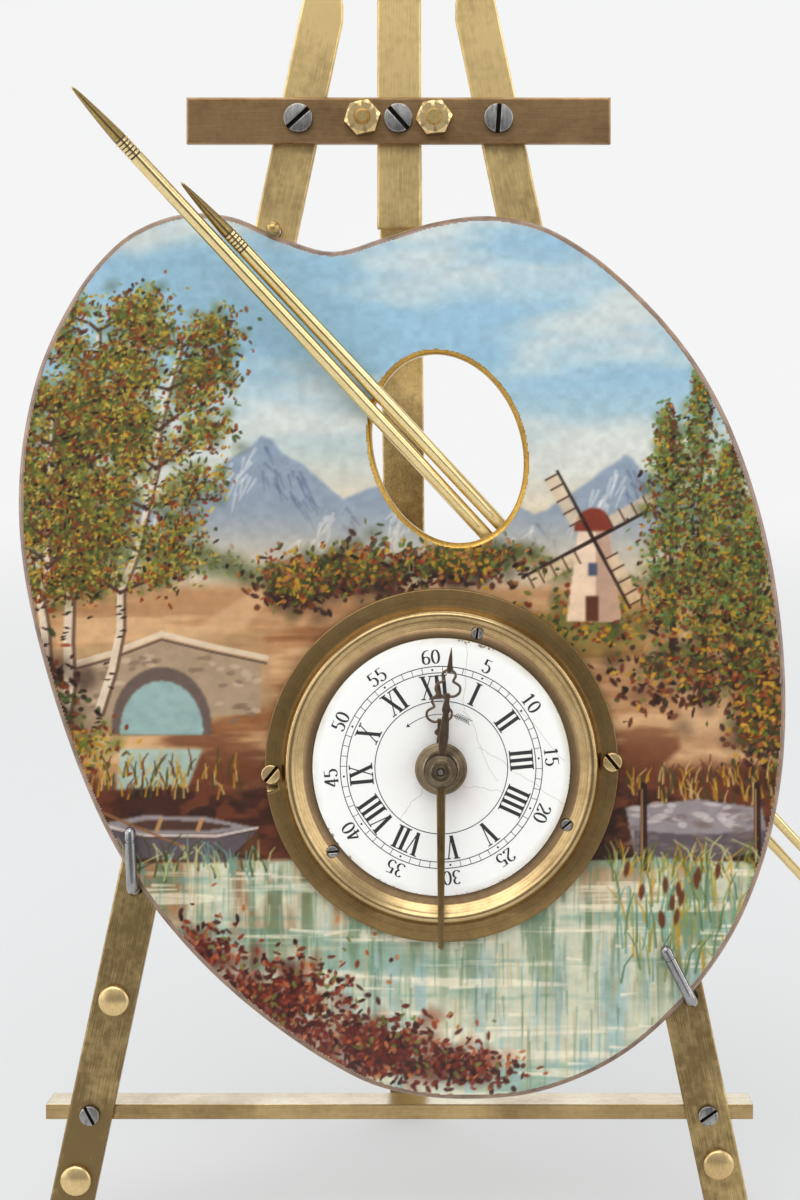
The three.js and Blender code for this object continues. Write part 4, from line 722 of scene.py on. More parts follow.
flange_loops = [flange_loop(), circle(DIAL_X, DIAL_Z, DRUM_R + SEAT, 180)]
make("bezel_flange", plate(flange_loops, FLANGE_FRONT, FLANGE_BACK - FLANGE_FRONT, FLANGE_BEVEL), bezel_brass,
     ["bezel"], sharp=30)
notch_start, notch_end = (LEFT_SCREW_ANGLE + math.degrees(d / FLANGE_R) for d in (-NOTCH_HALF, NOTCH_RUN))
notch_inner = FLANGE_R - NOTCH_DEPTH
notch_angles = [notch_start + (notch_end - notch_start) * k / 8 for k in range(9)]
floor_loop = [polar(FLANGE_R - 0.3, a) for a in notch_angles]
floor_loop += [polar(notch_inner, a) for a in reversed(notch_angles)]
floor_shape = plate([pairs_from(DIAL_X, DIAL_Z, floor_loop)], FLANGE_BACK - 0.4, 0.3, 0.05, 1)
make("bezel_notch_floor", floor_shape, inner_brass)
ramp_rows = []
for short_of_end, y in ((1.3, FLANGE_BACK - 0.45), (0.5, FLANGE_BACK - 0.9), (0.0, FLANGE_FRONT)):
    angle = LEFT_SCREW_ANGLE + math.degrees((NOTCH_RUN - short_of_end) / FLANGE_R)
    for r in (notch_inner, FLANGE_R - 0.1):
        x, z = polar(r, angle)
        ramp_rows.append((DIAL_X + x, y, DIAL_Z + z))
make("bezel_notch_ramp", (ramp_rows, [(0, 1, 3, 2), (2, 3, 5, 4)]), button_brass, sharp=80)
bead = pairs_from(CREST_R, INNER_RING_FRONT, [(-3.2, 0.1), (-2.7, -0.2), (-1.9, -0.5), (-1.25, -0.95)])
bead += pairs_from(CREST_R, CREST_FRONT, [(-0.7, 0.2), (0, 0), (0.55, 0.25), (0.95, 0.9), (1.1, 1.7),
                                          (1.12, 2.4), (1.45, 2.9)])
bead += pairs_from(CREST_R, FLANGE_FRONT, [(1.6, -0.35), (1.9, -0.1), (2.0, 0.2)])
bead += [(DRUM_R + SEAT, FLANGE_FRONT + 0.2), (DRUM_R + SEAT, INNER_RING_BACK)]
make("bezel_bead", on_dial_axis(bead, 180), bead_highlight_brass, ["bezel"], sharp=50)
inner = [(DRUM_R + SEAT, INNER_RING_BACK)]
inner += [(DIAL_R + SEAT, y) for y in (INNER_RING_BACK, INNER_RING_FRONT)]
inner += pairs_from(CREST_R, INNER_RING_FRONT, [(-3.0, -0.05), (-2.6, 0.3)])
make("bezel_inner_ring", on_dial_axis(inner, 180), inner_brass, ["bezel"], sharp=50)
HEAD_SINK = 0.05
for side, angle in (("left", 50), ("right", 130)):
    slotted_screw(f"bezel_screw_{side}_head", f"bezel_screw_{side}", BEZEL_HEAD, angle,
                  FLANGE_FRONT - SEAT + HEAD_SINK, button_brass)
for side, angle in (("top", 82), ("right", 40), ("left", 5)):
    slotted_screw(f"dial_screw_{side}_head", f"dial_screw_{side}", DIAL_HEAD, angle,
                  INNER_RING_FRONT - SEAT + HEAD_SINK, steel)


# Dial: domed white enamel with printed numerals
def dial_y(r):
    """Where the dial's face lies at a distance from its middle."""
    return DIAL_FRONT - DIAL_DOME * (1 - (r / DIAL_R) ** 2)


STAIN_OUTER, STAIN_INNER, EDGE_STAIN_INNER, EDGE_STAIN_OUTER = 14.0, 3.0, 26.4, 28.2


def enamel_material():
    """White enamel, a little stained round its hole and along its rim."""
    material, tree, shader = new_material("white_enamel")
    coordinates, vector = local_vector(tree, TILT, WHOLE)
    clouds = noise(tree, coordinates, 70.0, 4.0)
    radius = parts_of(tree, radius_vector(tree, vector))["X"]
    near_hole = stretch(tree, radius, STAIN_OUTER, STAIN_INNER)
    near_rim = stretch(tree, radius, EDGE_STAIN_INNER, EDGE_STAIN_OUTER)
    stain = math_node(tree, "MULTIPLY", near_hole, stretch(tree, clouds, 0.42, 0.7))
    edge = math_node(tree, "MULTIPLY", near_rim, stretch(tree, clouds, 0.4, 0.62))
    clean = blend(tree, stain, srgb(240, 239, 234), srgb(226, 210, 202))
    feed(tree, shader, {"Base Color": blend(tree, edge, clean, srgb(204, 196, 178)),
                        "Roughness": stretch(tree, clouds, GLAZE_LOW, GLAZE_HIGH, 0.22, 0.3),
                        "Specular IOR Level": 0.2})
    return material


enamel = enamel_material()
ink = glaze("dial_ink", srgb(44, 40, 40), srgb(26, 22, 24), 0.4, 500.0)
crack_ink = glaze("dial_crack", srgb(206, 194, 182), srgb(176, 164, 154), 0.5, 500.0)
DIAL_EDGE = 0.4
dial_profile = [(DIAL_HOLE_R, DIAL_BACK), (DIAL_HOLE_R, dial_y(DIAL_HOLE_R))]
dial_profile += [(r, dial_y(r)) for r in (6, 10, 14, 18, 22, 25, 27.2)]
dial_profile += pairs_from(DIAL_R, DIAL_FRONT, [(-0.12, DIAL_EDGE * 0.4), (0, DIAL_EDGE)])
dial_profile.append((DIAL_R, DIAL_BACK))
make("dial_enamel", on_dial_axis(dial_profile, 160), enamel, ["dial"], sharp=40)

INK_LIFT = 0.03


def on_dial(loops, lift=INK_LIFT):
    """Flat faces laid on the dial: each loop of (x, z) from the dial's middle is one face."""
    points, faces = [], []
    for loop in loops:
        first = len(points)
        for x, z in loop:
            points.append((DIAL_X + x, dial_y(math.hypot(x, z)) - lift, DIAL_Z + z))
        faces.append(tuple(range(first, first + len(loop))))
    return points, faces


def ribbon(path, width):
    """Quads along a path of (x, z), whose width is a number or a function of the direction."""
    quads = []
    rows = []
    for i, (x, z) in enumerate(path):
        ahead = Vector(path[min(i + 1, len(path) - 1)]) - Vector(path[max(i - 1, 0)])
        ahead = ahead.normalized()
        half = (width(ahead) if callable(width) else width) / 2
        rows.append(((x - ahead.y * half, z + ahead.x * half), (x + ahead.y * half, z - ahead.x * half)))
    for (a, b), (c, d) in zip(rows, rows[1:]):
        quads.append([a, b, d, c])
    return quads


def arc(x, z, a, b, start, end, steps=18):
    return [(x + a * math.cos(math.radians(t)), z + b * math.sin(math.radians(t)))
            for t in (start + (end - start) * i / steps for i in range(steps + 1))]


# Numerals are drawn in a box of height 1 whose foot is at 0, with thick downstrokes and thin cross strokes
THICK, THIN = 0.155, 0.05


def pen(ahead):
    """Width of a pen stroke by its direction: thick downwards, thin sideways."""
    return THIN + (THICK - THIN) * abs(ahead.y) ** 1.5


DIGITS = {
    "0": [arc(0.3, 0.5, 0.24, 0.46, 90, 450, 28)],
    "1": [[(0.12, 0.8), (0.3, 0.95)], [(0.3, 0.96), (0.3, 0.04)], [(0.12, 0.03), (0.48, 0.03)]],
    "2": [arc(0.3, 0.7, 0.22, 0.26, 165, -40) + [(0.2, 0.22), (0.08, 0.04)], [(0.08, 0.05), (0.52, 0.05)],
          [(0.52, 0.05), (0.54, 0.2)]],
    "3": [arc(0.28, 0.74, 0.2, 0.22, 150, -80), arc(0.28, 0.28, 0.24, 0.25, 85, -150)],
    "4": [[(0.42, 0.97), (0.05, 0.3)], [(0.03, 0.28), (0.6, 0.28)], [(0.42, 0.97), (0.42, 0.04)],
          [(0.3, 0.03), (0.54, 0.03)]],
    "5": [[(0.14, 0.94), (0.5, 0.94)], [(0.14, 0.96), (0.12, 0.55)], arc(0.28, 0.32, 0.24, 0.28, 125, -150)],
    "6": [arc(0.42, 0.6, 0.34, 0.36, 75, 180) + [(0.08, 0.45), (0.08, 0.32)],
          arc(0.3, 0.28, 0.22, 0.25, 180, 540, 24)],
}
DIGIT_STEP = 0.66


def laid_out(loops, r, degrees, height, shift):
    """Loops of a numeral on the dial: its foot at radius r, at an angle clockwise from the dial's own top."""
    placed = []
    across, along = polar(1, DIAL_TURN - degrees)
    for loop in loops:
        moved = []
        for x, z in loop:
            px, pz = (x + shift) * height, r + z * height
            moved.append((px * across - pz * along, px * along + pz * across))
        placed.append(moved)
    return placed


def bar(x0, z0, x1, z1, width):
    """A stroke of even horizontal width from one height to another."""
    return [(x0 - width / 2, z0), (x0 + width / 2, z0), (x1 + width / 2, z1), (x1 - width / 2, z1)]


WIDE_SERIF, NARROW_SERIF, HEAD_LINE, FOOT_LINE, LETTER_GAP = 0.28, 0.2, 0.98, 0.02, 0.04
# Letters in the same box: bars as bar() takes them, serifs as (x, z, reach), and the step to the next letter
LETTERS = {
    "I": ([(0.13, 0, 0.13, 1, THICK)], [(0.13, FOOT_LINE, WIDE_SERIF), (0.13, HEAD_LINE, WIDE_SERIF)], 0.3),
    "V": ([(0.12, 1, 0.29, 0, THICK), (0.48, 1, 0.3, 0, THIN)],
          [(0.12, HEAD_LINE, WIDE_SERIF), (0.48, HEAD_LINE, NARROW_SERIF)], 0.6),
    "X": ([(0.11, 1, 0.47, 0, THICK), (0.48, 1, 0.09, 0, THIN)],
          [(0.11, HEAD_LINE, WIDE_SERIF), (0.48, HEAD_LINE, NARROW_SERIF), (0.09, FOOT_LINE, NARROW_SERIF),
           (0.47, FOOT_LINE, WIDE_SERIF)], 0.6),
}


def roman(text):
    """Loops of a Roman numeral and its width."""
    loops, x = [], 0.0
    for letter in text:
        bars, serifs, step = LETTERS[letter]
        loops += [bar(x + x0, z0, x + x1, z1, width) for x0, z0, x1, z1, width in bars]
        loops += [bar(x + at, z - THIN / 2, x + at, z + THIN / 2, reach) for at, z, reach in serifs]
        x += step
    return loops, x - LETTER_GAP


ROMAN = ["XII", "I", "II", "III", "IIII", "V", "VI", "VII", "VIII", "IX", "X", "XI"]
TRACK_INNER, TRACK_OUTER, CIRCLE_R = 20.6, 22.0, 14.45
ROMAN_FOOT, ROMAN_HEIGHT = 14.95, 5.1
DIGIT_FOOT, DIGIT_HEIGHT = 22.55, 3.15
HAIRLINE, TICK_HALF, DOT_R = 0.18, (0.17, 0.16), 0.24
print_loops = []
for r in (TRACK_INNER, TRACK_OUTER, CIRCLE_R):
    print_loops += ribbon(arc(0, 0, r, r, 0, 360, 180), HAIRLINE)
for minute in range(60):
    degrees = 90 + DIAL_TURN - 6 * minute
    if minute % 5:
        foot, head = TICK_HALF
        print_loops.append([polar(TRACK_INNER, degrees - foot), polar(TRACK_OUTER, degrees - head),
                            polar(TRACK_OUTER, degrees + head), polar(TRACK_INNER, degrees + foot)])
    else:
        print_loops.append(circle(*polar((TRACK_INNER + TRACK_OUTER) / 2, degrees), DOT_R, 12))
for hour, text in enumerate(ROMAN):
    loops, width = roman(text)
    print_loops += laid_out(loops, ROMAN_FOOT, 30 * hour, ROMAN_HEIGHT, -width / 2)
for step in range(12):
    text = str(5 * step) if step else "60"
    for place, digit in enumerate(text):
        shift = (place - len(text) / 2) * DIGIT_STEP
        for path in DIGITS[digit]:
            quads = ribbon(path, pen)
            print_loops += laid_out(quads, DIGIT_FOOT, 30 * step, DIGIT_HEIGHT, shift)

# A thin curved arrow round the middle, with a head on the left and feathers on the right
ARROW_R, ARROW_HEAD, ARROW_TAIL, ARROW_LINE = 11.6, 131, 60, 0.14
FEATHERS, FEATHER_START, FEATHER_STEP, FEATHER_SLANT, FEATHER_LINE = 7, 76, 2.6, 4.0, 0.13
OUTER_FEATHER, INNER_FEATHER = 0.7, -0.56
print_loops += ribbon(arc(0, 0, ARROW_R, ARROW_R, ARROW_HEAD, ARROW_TAIL, 40), ARROW_LINE)
print_loops.append([polar(ARROW_R, ARROW_HEAD), polar(ARROW_R + 0.5, ARROW_HEAD - 4),
                    polar(ARROW_R, ARROW_HEAD - 3), polar(ARROW_R - 0.5, ARROW_HEAD - 4)])
for i in range(FEATHERS):
    degrees = FEATHER_START - FEATHER_STEP * i
    for reach in (OUTER_FEATHER, INNER_FEATHER):
        feather = [polar(ARROW_R, degrees), polar(ARROW_R + reach, degrees - FEATHER_SLANT)]
        print_loops += ribbon(feather, FEATHER_LINE)
make("dial_print", on_dial(print_loops), ink, doubles=0)

# Hairline cracks in the enamel, and chips along its rim
draw = random.Random(11)
CRACK_STEPS, CRACK_SWAY, CRACK_WIDTH = 14, 0.35, 0.09


def crack(start, end):
    """A wandering hairline between two places on the dial."""
    start, end = Vector(start), Vector(end)
    across = (end - start).orthogonal().normalized()
    drift, path = 0.0, []
    for i in range(CRACK_STEPS + 1):
        drift = 0.7 * drift + draw.uniform(-CRACK_SWAY, CRACK_SWAY)
        place = start.lerp(end, i / CRACK_STEPS) + across * drift
        path.append((place.x, place.y))
    return path


CRACKS = [((5.5, 27.0), (5.0, 12.5)), ((5.0, 12.5), (12.5, -3.0)), ((9.0, 20.0), (27.0, 1.5)),
          ((8.0, 4.5), (26.5, -8.0)), ((-3.5, -4.5), (-9.0, -11.5)), ((3.0, -3.5), (14.0, -5.5))]
crack_loops = []
for start, end in CRACKS:
    crack_loops += ribbon(crack(start, end), CRACK_WIDTH)
make("dial_cracks", on_dial(crack_loops, INK_LIFT * 0.6), crack_ink, doubles=0)

# Where the chips lie, in degrees round the rim, how many there are and how large
CHIPS = ((66, 82, 12, 0.5), (208, 228, 9, 0.4), (240, 305, 24, 0.26), (300, 395, 16, 0.2))
CHIP_CORNERS = 7
chip_earth = glaze("dial_chips", srgb(176, 162, 138), srgb(104, 90, 72), 0.6, 700.0)
chip_loops = []
for low, high, count, size in CHIPS:
    for _ in range(count):
        x, z = polar(DIAL_R - draw.uniform(0.0, size * 0.9), draw.uniform(low, high))
        loop = []
        for k in range(CHIP_CORNERS):
            dx, dz = polar(size * draw.uniform(0.3, 0.75), 360 * k / CHIP_CORNERS)
            over = max(math.hypot(x + dx, z + dz) / (DIAL_R - 0.02), 1)
            loop.append(((x + dx) / over, (z + dz) / over))
        chip_loops.append(loop)
make("dial_chip_marks", on_dial(chip_loops, INK_LIFT * 1.3), chip_earth, doubles=0)


# Hands: pierced and pointed, pointing up before they are turned
def smooth_path(corners, steps):
    """A smooth curve through the corners of an open path."""
    ends = [2 * Vector(corners[0]) - Vector(corners[1]), 2 * Vector(corners[-1]) - Vector(corners[-2])]
    closed = smooth_loop([ends[0], *corners, ends[1]], steps)
    return closed[steps:steps * len(corners) + 1]


# One side of a hand's open frame: share of its half width, and of the way from its foot to the spear
FRAME_SIDE = [(0.0, 0.12), (0.1, 0.04), (0.32, 0.0), (0.64, 0.04), (0.92, 0.16), (1.0, 0.3), (0.92, 0.44),
              (0.64, 0.53), (0.4, 0.59), (0.42, 0.68), (0.53, 0.8), (0.48, 0.92), (0.28, 1.0), (0.1, 1.02)]
WIRE_R, HAND_BEVEL, SPEAR_BEVEL = 0.29, 0.14, 0.1


def mirrored(side):
    """A closed loop from one of its two like sides."""
    return list(side) + [(-x, z) for x, z in reversed(side)]


def hand(length, foot, neck, half_width, stem, hub_r, front):
    """A hand with a swelling stem, an open frame of wire between foot and neck, and a spear point.

    stem lists the half widths of the stem by their distance from the middle.
    """
    middle = front + HAND_T / 2
    spear = [(half_width * 0.16, neck - 0.5), (half_width * 0.24, neck + 0.5),
             (half_width * 0.14, neck + (length - neck) * 0.6), (0.06, length)]
    parts = [plate([mirrored(stem)], front, HAND_T, HAND_BEVEL, 2),
             plate([mirrored(spear)], front, HAND_T, SPEAR_BEVEL, 2),
             plate([circle(0, 0, hub_r, 48)], front, HAND_T, HAND_BEVEL, 2)]
    for side in (-1, 1):
        path = [(side * half_width * u, foot + (neck - foot) * v) for u, v in FRAME_SIDE]
        path = [(x, middle, z) for x, z in smooth_path(path, 5)]
        parts.append(sweep(path, [WIRE_R] * len(path), 12))
    return shifted(merge(*parts), DIAL_X, 0, DIAL_Z)


def pointed_hand(name, angle, shape, body):
    make(f"{name}_blade", spun(shape, angle, DIAL_X, DIAL_Z), bronze, [name], body)


hour_stem = [(0.85, 0), (0.8, 6.4), (0.6, 7.1), (1.15, 7.5), (1.2, 8.1), (0.55, 8.7), (0.5, 9.6),
             (0.45, 10.7)]
pointed_hand("hour_hand", HOUR_ANGLE, hand(19.7, 10.1, 15.6, 2.75, hour_stem, 3.6, HOUR_HAND_Y), "hour_work")
minute_stem = [(0.85, 0), (0.85, 3), (1.05, 7.5), (0.85, 11), (0.62, 12.2), (0.92, 12.9), (0.9, 13.6),
               (0.6, 14.4), (0.58, 16.6)]
pointed_hand("minute_hand", MINUTE_ANGLE, hand(26.5, 16.0, 21.5, 2.65, minute_stem, 3.3, MINUTE_HAND_Y),
             "minute_work")
COLLET_R = 3.4
collet = [(0, 0.25), (0.55, 0.25), (0.62, 0.7), (0.9, 0.7), (1.0, 0.1), (1.25, 0), (1.95, 0), (2.15, 0.2),
          (2.2, 1.7), (2.75, 1.85), (3.25, 2.0), (COLLET_R, 2.25)]
collet = pairs_from(0, COLLET_FRONT, collet) + [(COLLET_R, MINUTE_HAND_Y + HAND_T)]
make("minute_collet", on_dial_axis(collet, 72), hub_bronze, ["minute_hand"], "minute_work",
     sharp=40)

ALARM_LENGTH, ALARM_WIDTH, ALARM_FOOT = 39.0, 2.0, 3
ALARM_DISC_R, ALARM_DISC_T, ALARM_BOSS_R, ALARM_BOSS, ALARM_BORE = 5.65, 1.2, 4.0, 1.8, 1.8
alarm_disc = [(ALARM_BORE, ALARM_Y - ALARM_BOSS)]
alarm_disc += pairs_from(ALARM_BOSS_R, ALARM_Y - ALARM_BOSS, [(-0.3, 0), (0, 0.3)])
alarm_disc += pairs_from(ALARM_BOSS_R, ALARM_Y, [(0, -0.25), (0.3, 0)])
alarm_disc += pairs_from(ALARM_DISC_R, ALARM_Y, [(-0.3, 0), (0, 0.25), (0, ALARM_DISC_T)])
alarm_disc += [(ALARM_BORE, ALARM_Y + ALARM_DISC_T)]
make("alarm_disc", on_dial_axis(alarm_disc, 80), hub_bronze, ["alarm_hand"], "alarm_setting",
     sharp=40)
half = ALARM_WIDTH / 2
alarm_left = [(-half, -ALARM_FOOT), (-half * 0.62, -ALARM_LENGTH + 0.5), (-half * 0.3, -ALARM_LENGTH)]
alarm_plate = plate([mirrored(alarm_left)], ALARM_Y - HAND_T / 2, HAND_T, 0.3)
alarm_shape = shifted(alarm_plate, DIAL_X, 0, DIAL_Z)
make("alarm_bar", alarm_shape, alarm_bronze, ["alarm_hand"], "alarm_setting")

# Drum and what stands on its back
DRUM_GROOVE_Y = 24.0
drum = [(DIAL_R - 1.6, DRUM_FRONT), (DRUM_R, DRUM_FRONT), (DRUM_R, PALETTE_FRONT), (DRUM_R, 0)]
drum += pairs_from(DRUM_R, DRUM_GROOVE_Y, [(0, 0), (-0.25, 0.2), (-0.25, 0.8), (0, 1)])
drum += pairs_from(DRUM_R, DRUM_BACK, [(0, -0.2), (-0.2, 0)])
make("drum_shell", on_dial_axis(drum, 160), drum_brass, ["drum_case"], sharp=40)
cover = pairs_from(DRUM_R, DRUM_BACK, [(-2, 0.1), (-0.3, 0.1), (0, 0.4)])
cover += pairs_from(DRUM_R, COVER_BACK, [(0, -0.5), (-0.5, 0), (-3, 0), (-3.3, -0.35), (-4, -0.35),
                                         (-4.3, -0.05)])
cover += [(2.0, COVER_BACK - 0.05)]
make("back_cover_disc", on_dial_axis(cover, 160), bezel_brass, ["back_cover"], sharp=40)


def knurled(profile, x, z, teeth, depth):
    """A turned profile whose rows marked True are cut into fine teeth."""
    points, faces = lathe([(r, y) for r, y, _ in profile], 0, 0, teeth * 4)
    count = len(profile)
    for i, (px, y, pz) in enumerate(points):
        notched = profile[i % count][2] and (i // count) % 4 in (0, 1)
        share = 1 - depth if notched else 1
        points[i] = (x + px * share, y, z + pz * share)
    return points, faces


KNOB_R, KNOB_T, KNOB_TEETH, KNOB_CUT = 4, 3, 28, 0.06
knob_back = node_middle("setting_knob").y + KNOB_T / 2
knob = [(0, -KNOB_T, False), (KNOB_R - 0.1, -KNOB_T, False), (KNOB_R, -KNOB_T + 0.2, True),
        (KNOB_R, -0.5, True), (3.5, 0, False), (2.2, 0, False), (2.0, -0.3, False), (0, -0.3, False)]
knob = [(r, knob_back + y, cut) for r, y, cut in knob]
make("setting_knob_head", knurled(knob, DIAL_X, DIAL_Z, KNOB_TEETH, KNOB_CUT), bright_brass,
     ["setting_knob"], "minute_work", sharp=25)

KEY_HUB_R, KEY_HUB, KEY_RING_R, KEY_RING_HOLE, KEY_T = 2.6, 5.0, 4.2, 2.2, 1.6
key_front = COVER_BACK + SEAT
key_hub = [(1.5, 0), (KEY_HUB_R - 0.2, 0), (KEY_HUB_R, 0.2), (KEY_HUB_R, KEY_HUB - 1),
           (KEY_HUB_R - 0.4, KEY_HUB + 1.2), (1.2, KEY_HUB + 1.6), (0, KEY_HUB + 1.6)]
for body, key in (("winding", "winding_key"), ("alarm_winding", "alarm_key")):
    axis = TO_EASEL @ Vector(joint[f"{body}_turn"]["pos_m"])
    parts = [lathe(pairs_from(0, key_front, key_hub), axis.x, axis.z, 48)]
    for side in (-1, 1):
        wing_x = side * (KEY_RING_R - SEAT)
        rings = [circle(wing_x, 0, KEY_RING_R, 48), circle(wing_x, 0, KEY_RING_HOLE, 36)]
        points, faces = plate(rings, -KEY_T / 2, KEY_T, 0.4)
        parts.append(([(axis.x + px, key_front + KEY_HUB + pz, axis.z + py) for px, py, pz in points], faces))
    make(f"{key}_bow", merge(*parts), bright_brass, [key], body)

# Painting: a lake view in washes, dabs and strokes, kept as the colours of the points of a fine flat grid
CELL = 0.28
PAINT_LEFT, PAINT_RIGHT, PAINT_LOW, PAINT_HIGH = -86.0, 88.0, 34.0, 233.0
PAINT_MARGIN, PAINT_LIFT = 1.0, 0.03
grid_x = np.arange(PAINT_LEFT, PAINT_RIGHT, CELL)
grid_z = np.arange(PAINT_LOW, PAINT_HIGH, CELL)
GX, GZ = np.meshgrid(grid_x, grid_z)
canvas = np.zeros((*GX.shape, 3))
rng = np.random.default_rng(7)


def blotches(size_x, size_z, octaves=4):
    """Smooth noise from 0 to 1 over the canvas, with blotches of a size in millimetres."""
    total, weight = np.zeros(GX.shape), 0.0
    for k in range(octaves):
        u, v = (GX - PAINT_LEFT) / size_x * 2 ** k, (GZ - PAINT_LOW) / size_z * 2 ** k
        i, j = u.astype(int), v.astype(int)
        table = rng.random((j.max() + 2, i.max() + 2))
        u, v = u - i, v - j
        u, v = u * u * (3 - 2 * u), v * v * (3 - 2 * v)
        low = table[j, i] * (1 - u) + table[j, i + 1] * u
        high = table[j + 1, i] * (1 - u) + table[j + 1, i + 1] * u
        total += (low * (1 - v) + high * v) * 0.5 ** k
        weight += 0.5 ** k
    return np.clip((total / weight - 0.5) * 1.6 + 0.5, 0, 1)


def ramp(values, low, high):
    """0 up to a low value, 1 from a high one, and smooth between them."""
    t = np.clip((values - low) / (high - low), 0, 1)
    return t * t * (3 - 2 * t)


def lay(part, colour, share):
    """Mixes a colour into a part of the canvas, by its share at each point."""
    share = np.clip(share, 0, 1)[..., None]
    canvas[part] = canvas[part] * (1 - share) + np.array(colour) * share


def wash(colour, share):
    """Lays a colour over the whole canvas, by its share at each point."""
    lay((slice(None), slice(None)), colour, share)


def window(points, reach):
    """The part of the grid round some points."""
    xs, zs = zip(*points)
    c0, c1 = np.searchsorted(grid_x, (min(xs) - reach, max(xs) + reach))
    r0, r1 = np.searchsorted(grid_z, (min(zs) - reach, max(zs) + reach))
    return slice(r0, r1), slice(c0, c1)


def dab(x, z, a, b, turn, colour, strength, hardness=2.5):
    """An oval spot that fades towards its edge."""
    part = window([(x, z)], max(a, b))
    across, along = polar(1, turn)
    dx, dz = GX[part] - x, GZ[part] - z
    far = np.hypot((dx * across + dz * along) / a, (dz * across - dx * along) / b)
    lay(part, colour, np.clip((1 - far) * hardness, 0, 1) * strength)


def stroke(path, width, end_width, colour, strength=0.9):
    """A brush stroke along a path of (x, z), from one width to another."""
    part = window(path, max(width, end_width))
    x, z = GX[part], GZ[part]
    share = np.zeros(x.shape)
    count = len(path) - 1
    for i, ((x0, z0), (x1, z1)) in enumerate(zip(path, path[1:])):
        length = math.hypot(x1 - x0, z1 - z0) + 1e-6
        t = np.clip(((x - x0) * (x1 - x0) + (z - z0) * (z1 - z0)) / length ** 2, 0, 1)
        half = (width + (end_width - width) * (i + t) / count) / 2
        off = np.hypot(x - x0 - t * (x1 - x0), z - z0 - t * (z1 - z0))
        share = np.maximum(share, np.clip((half - off) / CELL + 0.5, 0, 1))
    lay(part, colour, share * strength)


def inside(corners, x, z):
    """Which points lie inside a closed loop."""
    found = np.zeros(x.shape, bool)
    for (x0, z0), (x1, z1) in zip(corners, corners[1:] + corners[:1]):
        if z0 != z1:
            found ^= ((z0 > z) != (z1 > z)) & (x < x0 + (z - z0) * (x1 - x0) / (z1 - z0))
    return found


def area(corners, colour, strength=1.0, soft=1):
    """A filled area with slightly soft edges."""
    part = window(corners, 2.0)
    share = inside(corners, GX[part], GZ[part]).astype(float)
    for _ in range(soft):
        for axis in (0, 1):
            share = (np.roll(share, 1, axis) + 2 * share + np.roll(share, -1, axis)) / 4
    lay(part, colour, share * strength)


def foliage(x, z, rx, rz, count, colours, size, strength=0.85):
    """Leaves dabbed round a middle, thickest there, over a soft mass of the first colour."""
    for _ in range(count // 8):
        px, pz = rng.normal(0, 0.4, 2)
        dab(x + px * rx, z + pz * rz, 3.4 * size, 2.4 * size, rng.uniform(0, 180), colours[0], 0.35, 1.0)
    for _ in range(count):
        px, pz = rng.normal(0, 0.45, 2)
        colour = np.array(colours[rng.integers(len(colours))]) + rng.normal(0, 8)
        a, b = size * rng.uniform(0.5, 1.3), size * rng.uniform(0.3, 0.7)
        dab(x + px * rx, z + pz * rz, a, b, rng.uniform(0, 180), colour, strength)


def wander(start, end, sway, steps=7):
    """A path between two places that sways to either side."""
    path = []
    for i in range(steps + 1):
        t = i / steps
        off = rng.normal(0, sway) if 0 < i < steps else 0
        x, z = (a + (b - a) * t for a, b in zip(start, end))
        path.append((x + off, z + off * 0.3))
    return path


def grass(x0, x1, z0, z1, count, height, colours, lean=0.3):
    """Upright blades with their feet in a box."""
    for _ in range(count):
        x, z = rng.uniform(x0, x1), rng.uniform(z0, z1)
        tall, bend = height * rng.uniform(0.5, 1.2), rng.normal(0, lean)
        path = [(x, z), (x + bend * tall * 0.3, z + tall * 0.6), (x + bend * tall, z + tall)]
        stroke(path, 0.5, 0.25, colours[rng.integers(len(colours))], 0.8)


LEAF_GREEN, MOSS, OCHRE, RUST = (112, 124, 52), (74, 84, 44), (194, 158, 52), (142, 70, 36)
EARTH, DEEP_EARTH, UMBER = (112, 64, 42), (74, 44, 32), (52, 34, 26)
TEAL, FOAM, WATER_GREEN = (118, 164, 158), (238, 238, 228), (112, 140, 112)
STRAW, SEDGE = (206, 186, 130), (196, 200, 150)
STONE, STONE_SHADE, STONE_LIGHT = (158, 154, 164), (106, 98, 108), (214, 212, 218)
SHORE_Z, HORIZON_Z = 88.0, 150.0
VARNISH_LOW, VARNISH_HIGH, DEEPEN = (1.0, 0.96, 0.9), (1.0, 0.985, 0.96), 0.28

# Sky, far mountains and hills
wash((164, 200, 222), np.ones(GX.shape))
wash((232, 218, 196), ramp(-GZ, -198, -156))
wash((226, 228, 224), 0.75 * ramp(blotches(46, 13), 0.45, 0.9) * ramp(GZ, 158, 180))
wash((182, 210, 226), 0.7 * ramp(blotches(30, 9), 0.5, 0.8) * ramp(GZ, 180, 210))
RIDGE_STEP = 0.125
RIDGE = [(-88, 160), (-64, 171), (-52, 165), (-30, 181), (-12, 167), (8, 174), (30, 163), (50, 176),
         (64, 167), (90, 161)]
ridge_line = []
for (x0, z0), (x1, z1) in zip(RIDGE, RIDGE[1:]):
    for t in np.arange(0, 1, RIDGE_STEP):
        ridge_line.append((x0 + (x1 - x0) * t, z0 + (z1 - z0) * t + rng.normal(0, 0.5)))
area(ridge_line + [(90, 160), (90, 140), (-88, 140)], (146, 163, 184), 0.85, 2)
for x, z in RIDGE[1:-1]:
    for _ in range(48):
        dx = rng.uniform(-11, 11)
        drop = abs(dx) * 0.8 + rng.uniform(0.8, 9)
        tone = (222, 224, 228) if dx < 0 else (118, 130, 156)
        foot = (x + dx + math.copysign(rng.uniform(0.3, 2.6), dx), z - drop - rng.uniform(1.5, 5))
        stroke([(x + dx, z - drop), foot], 0.8, 0.25, tone, 0.45)
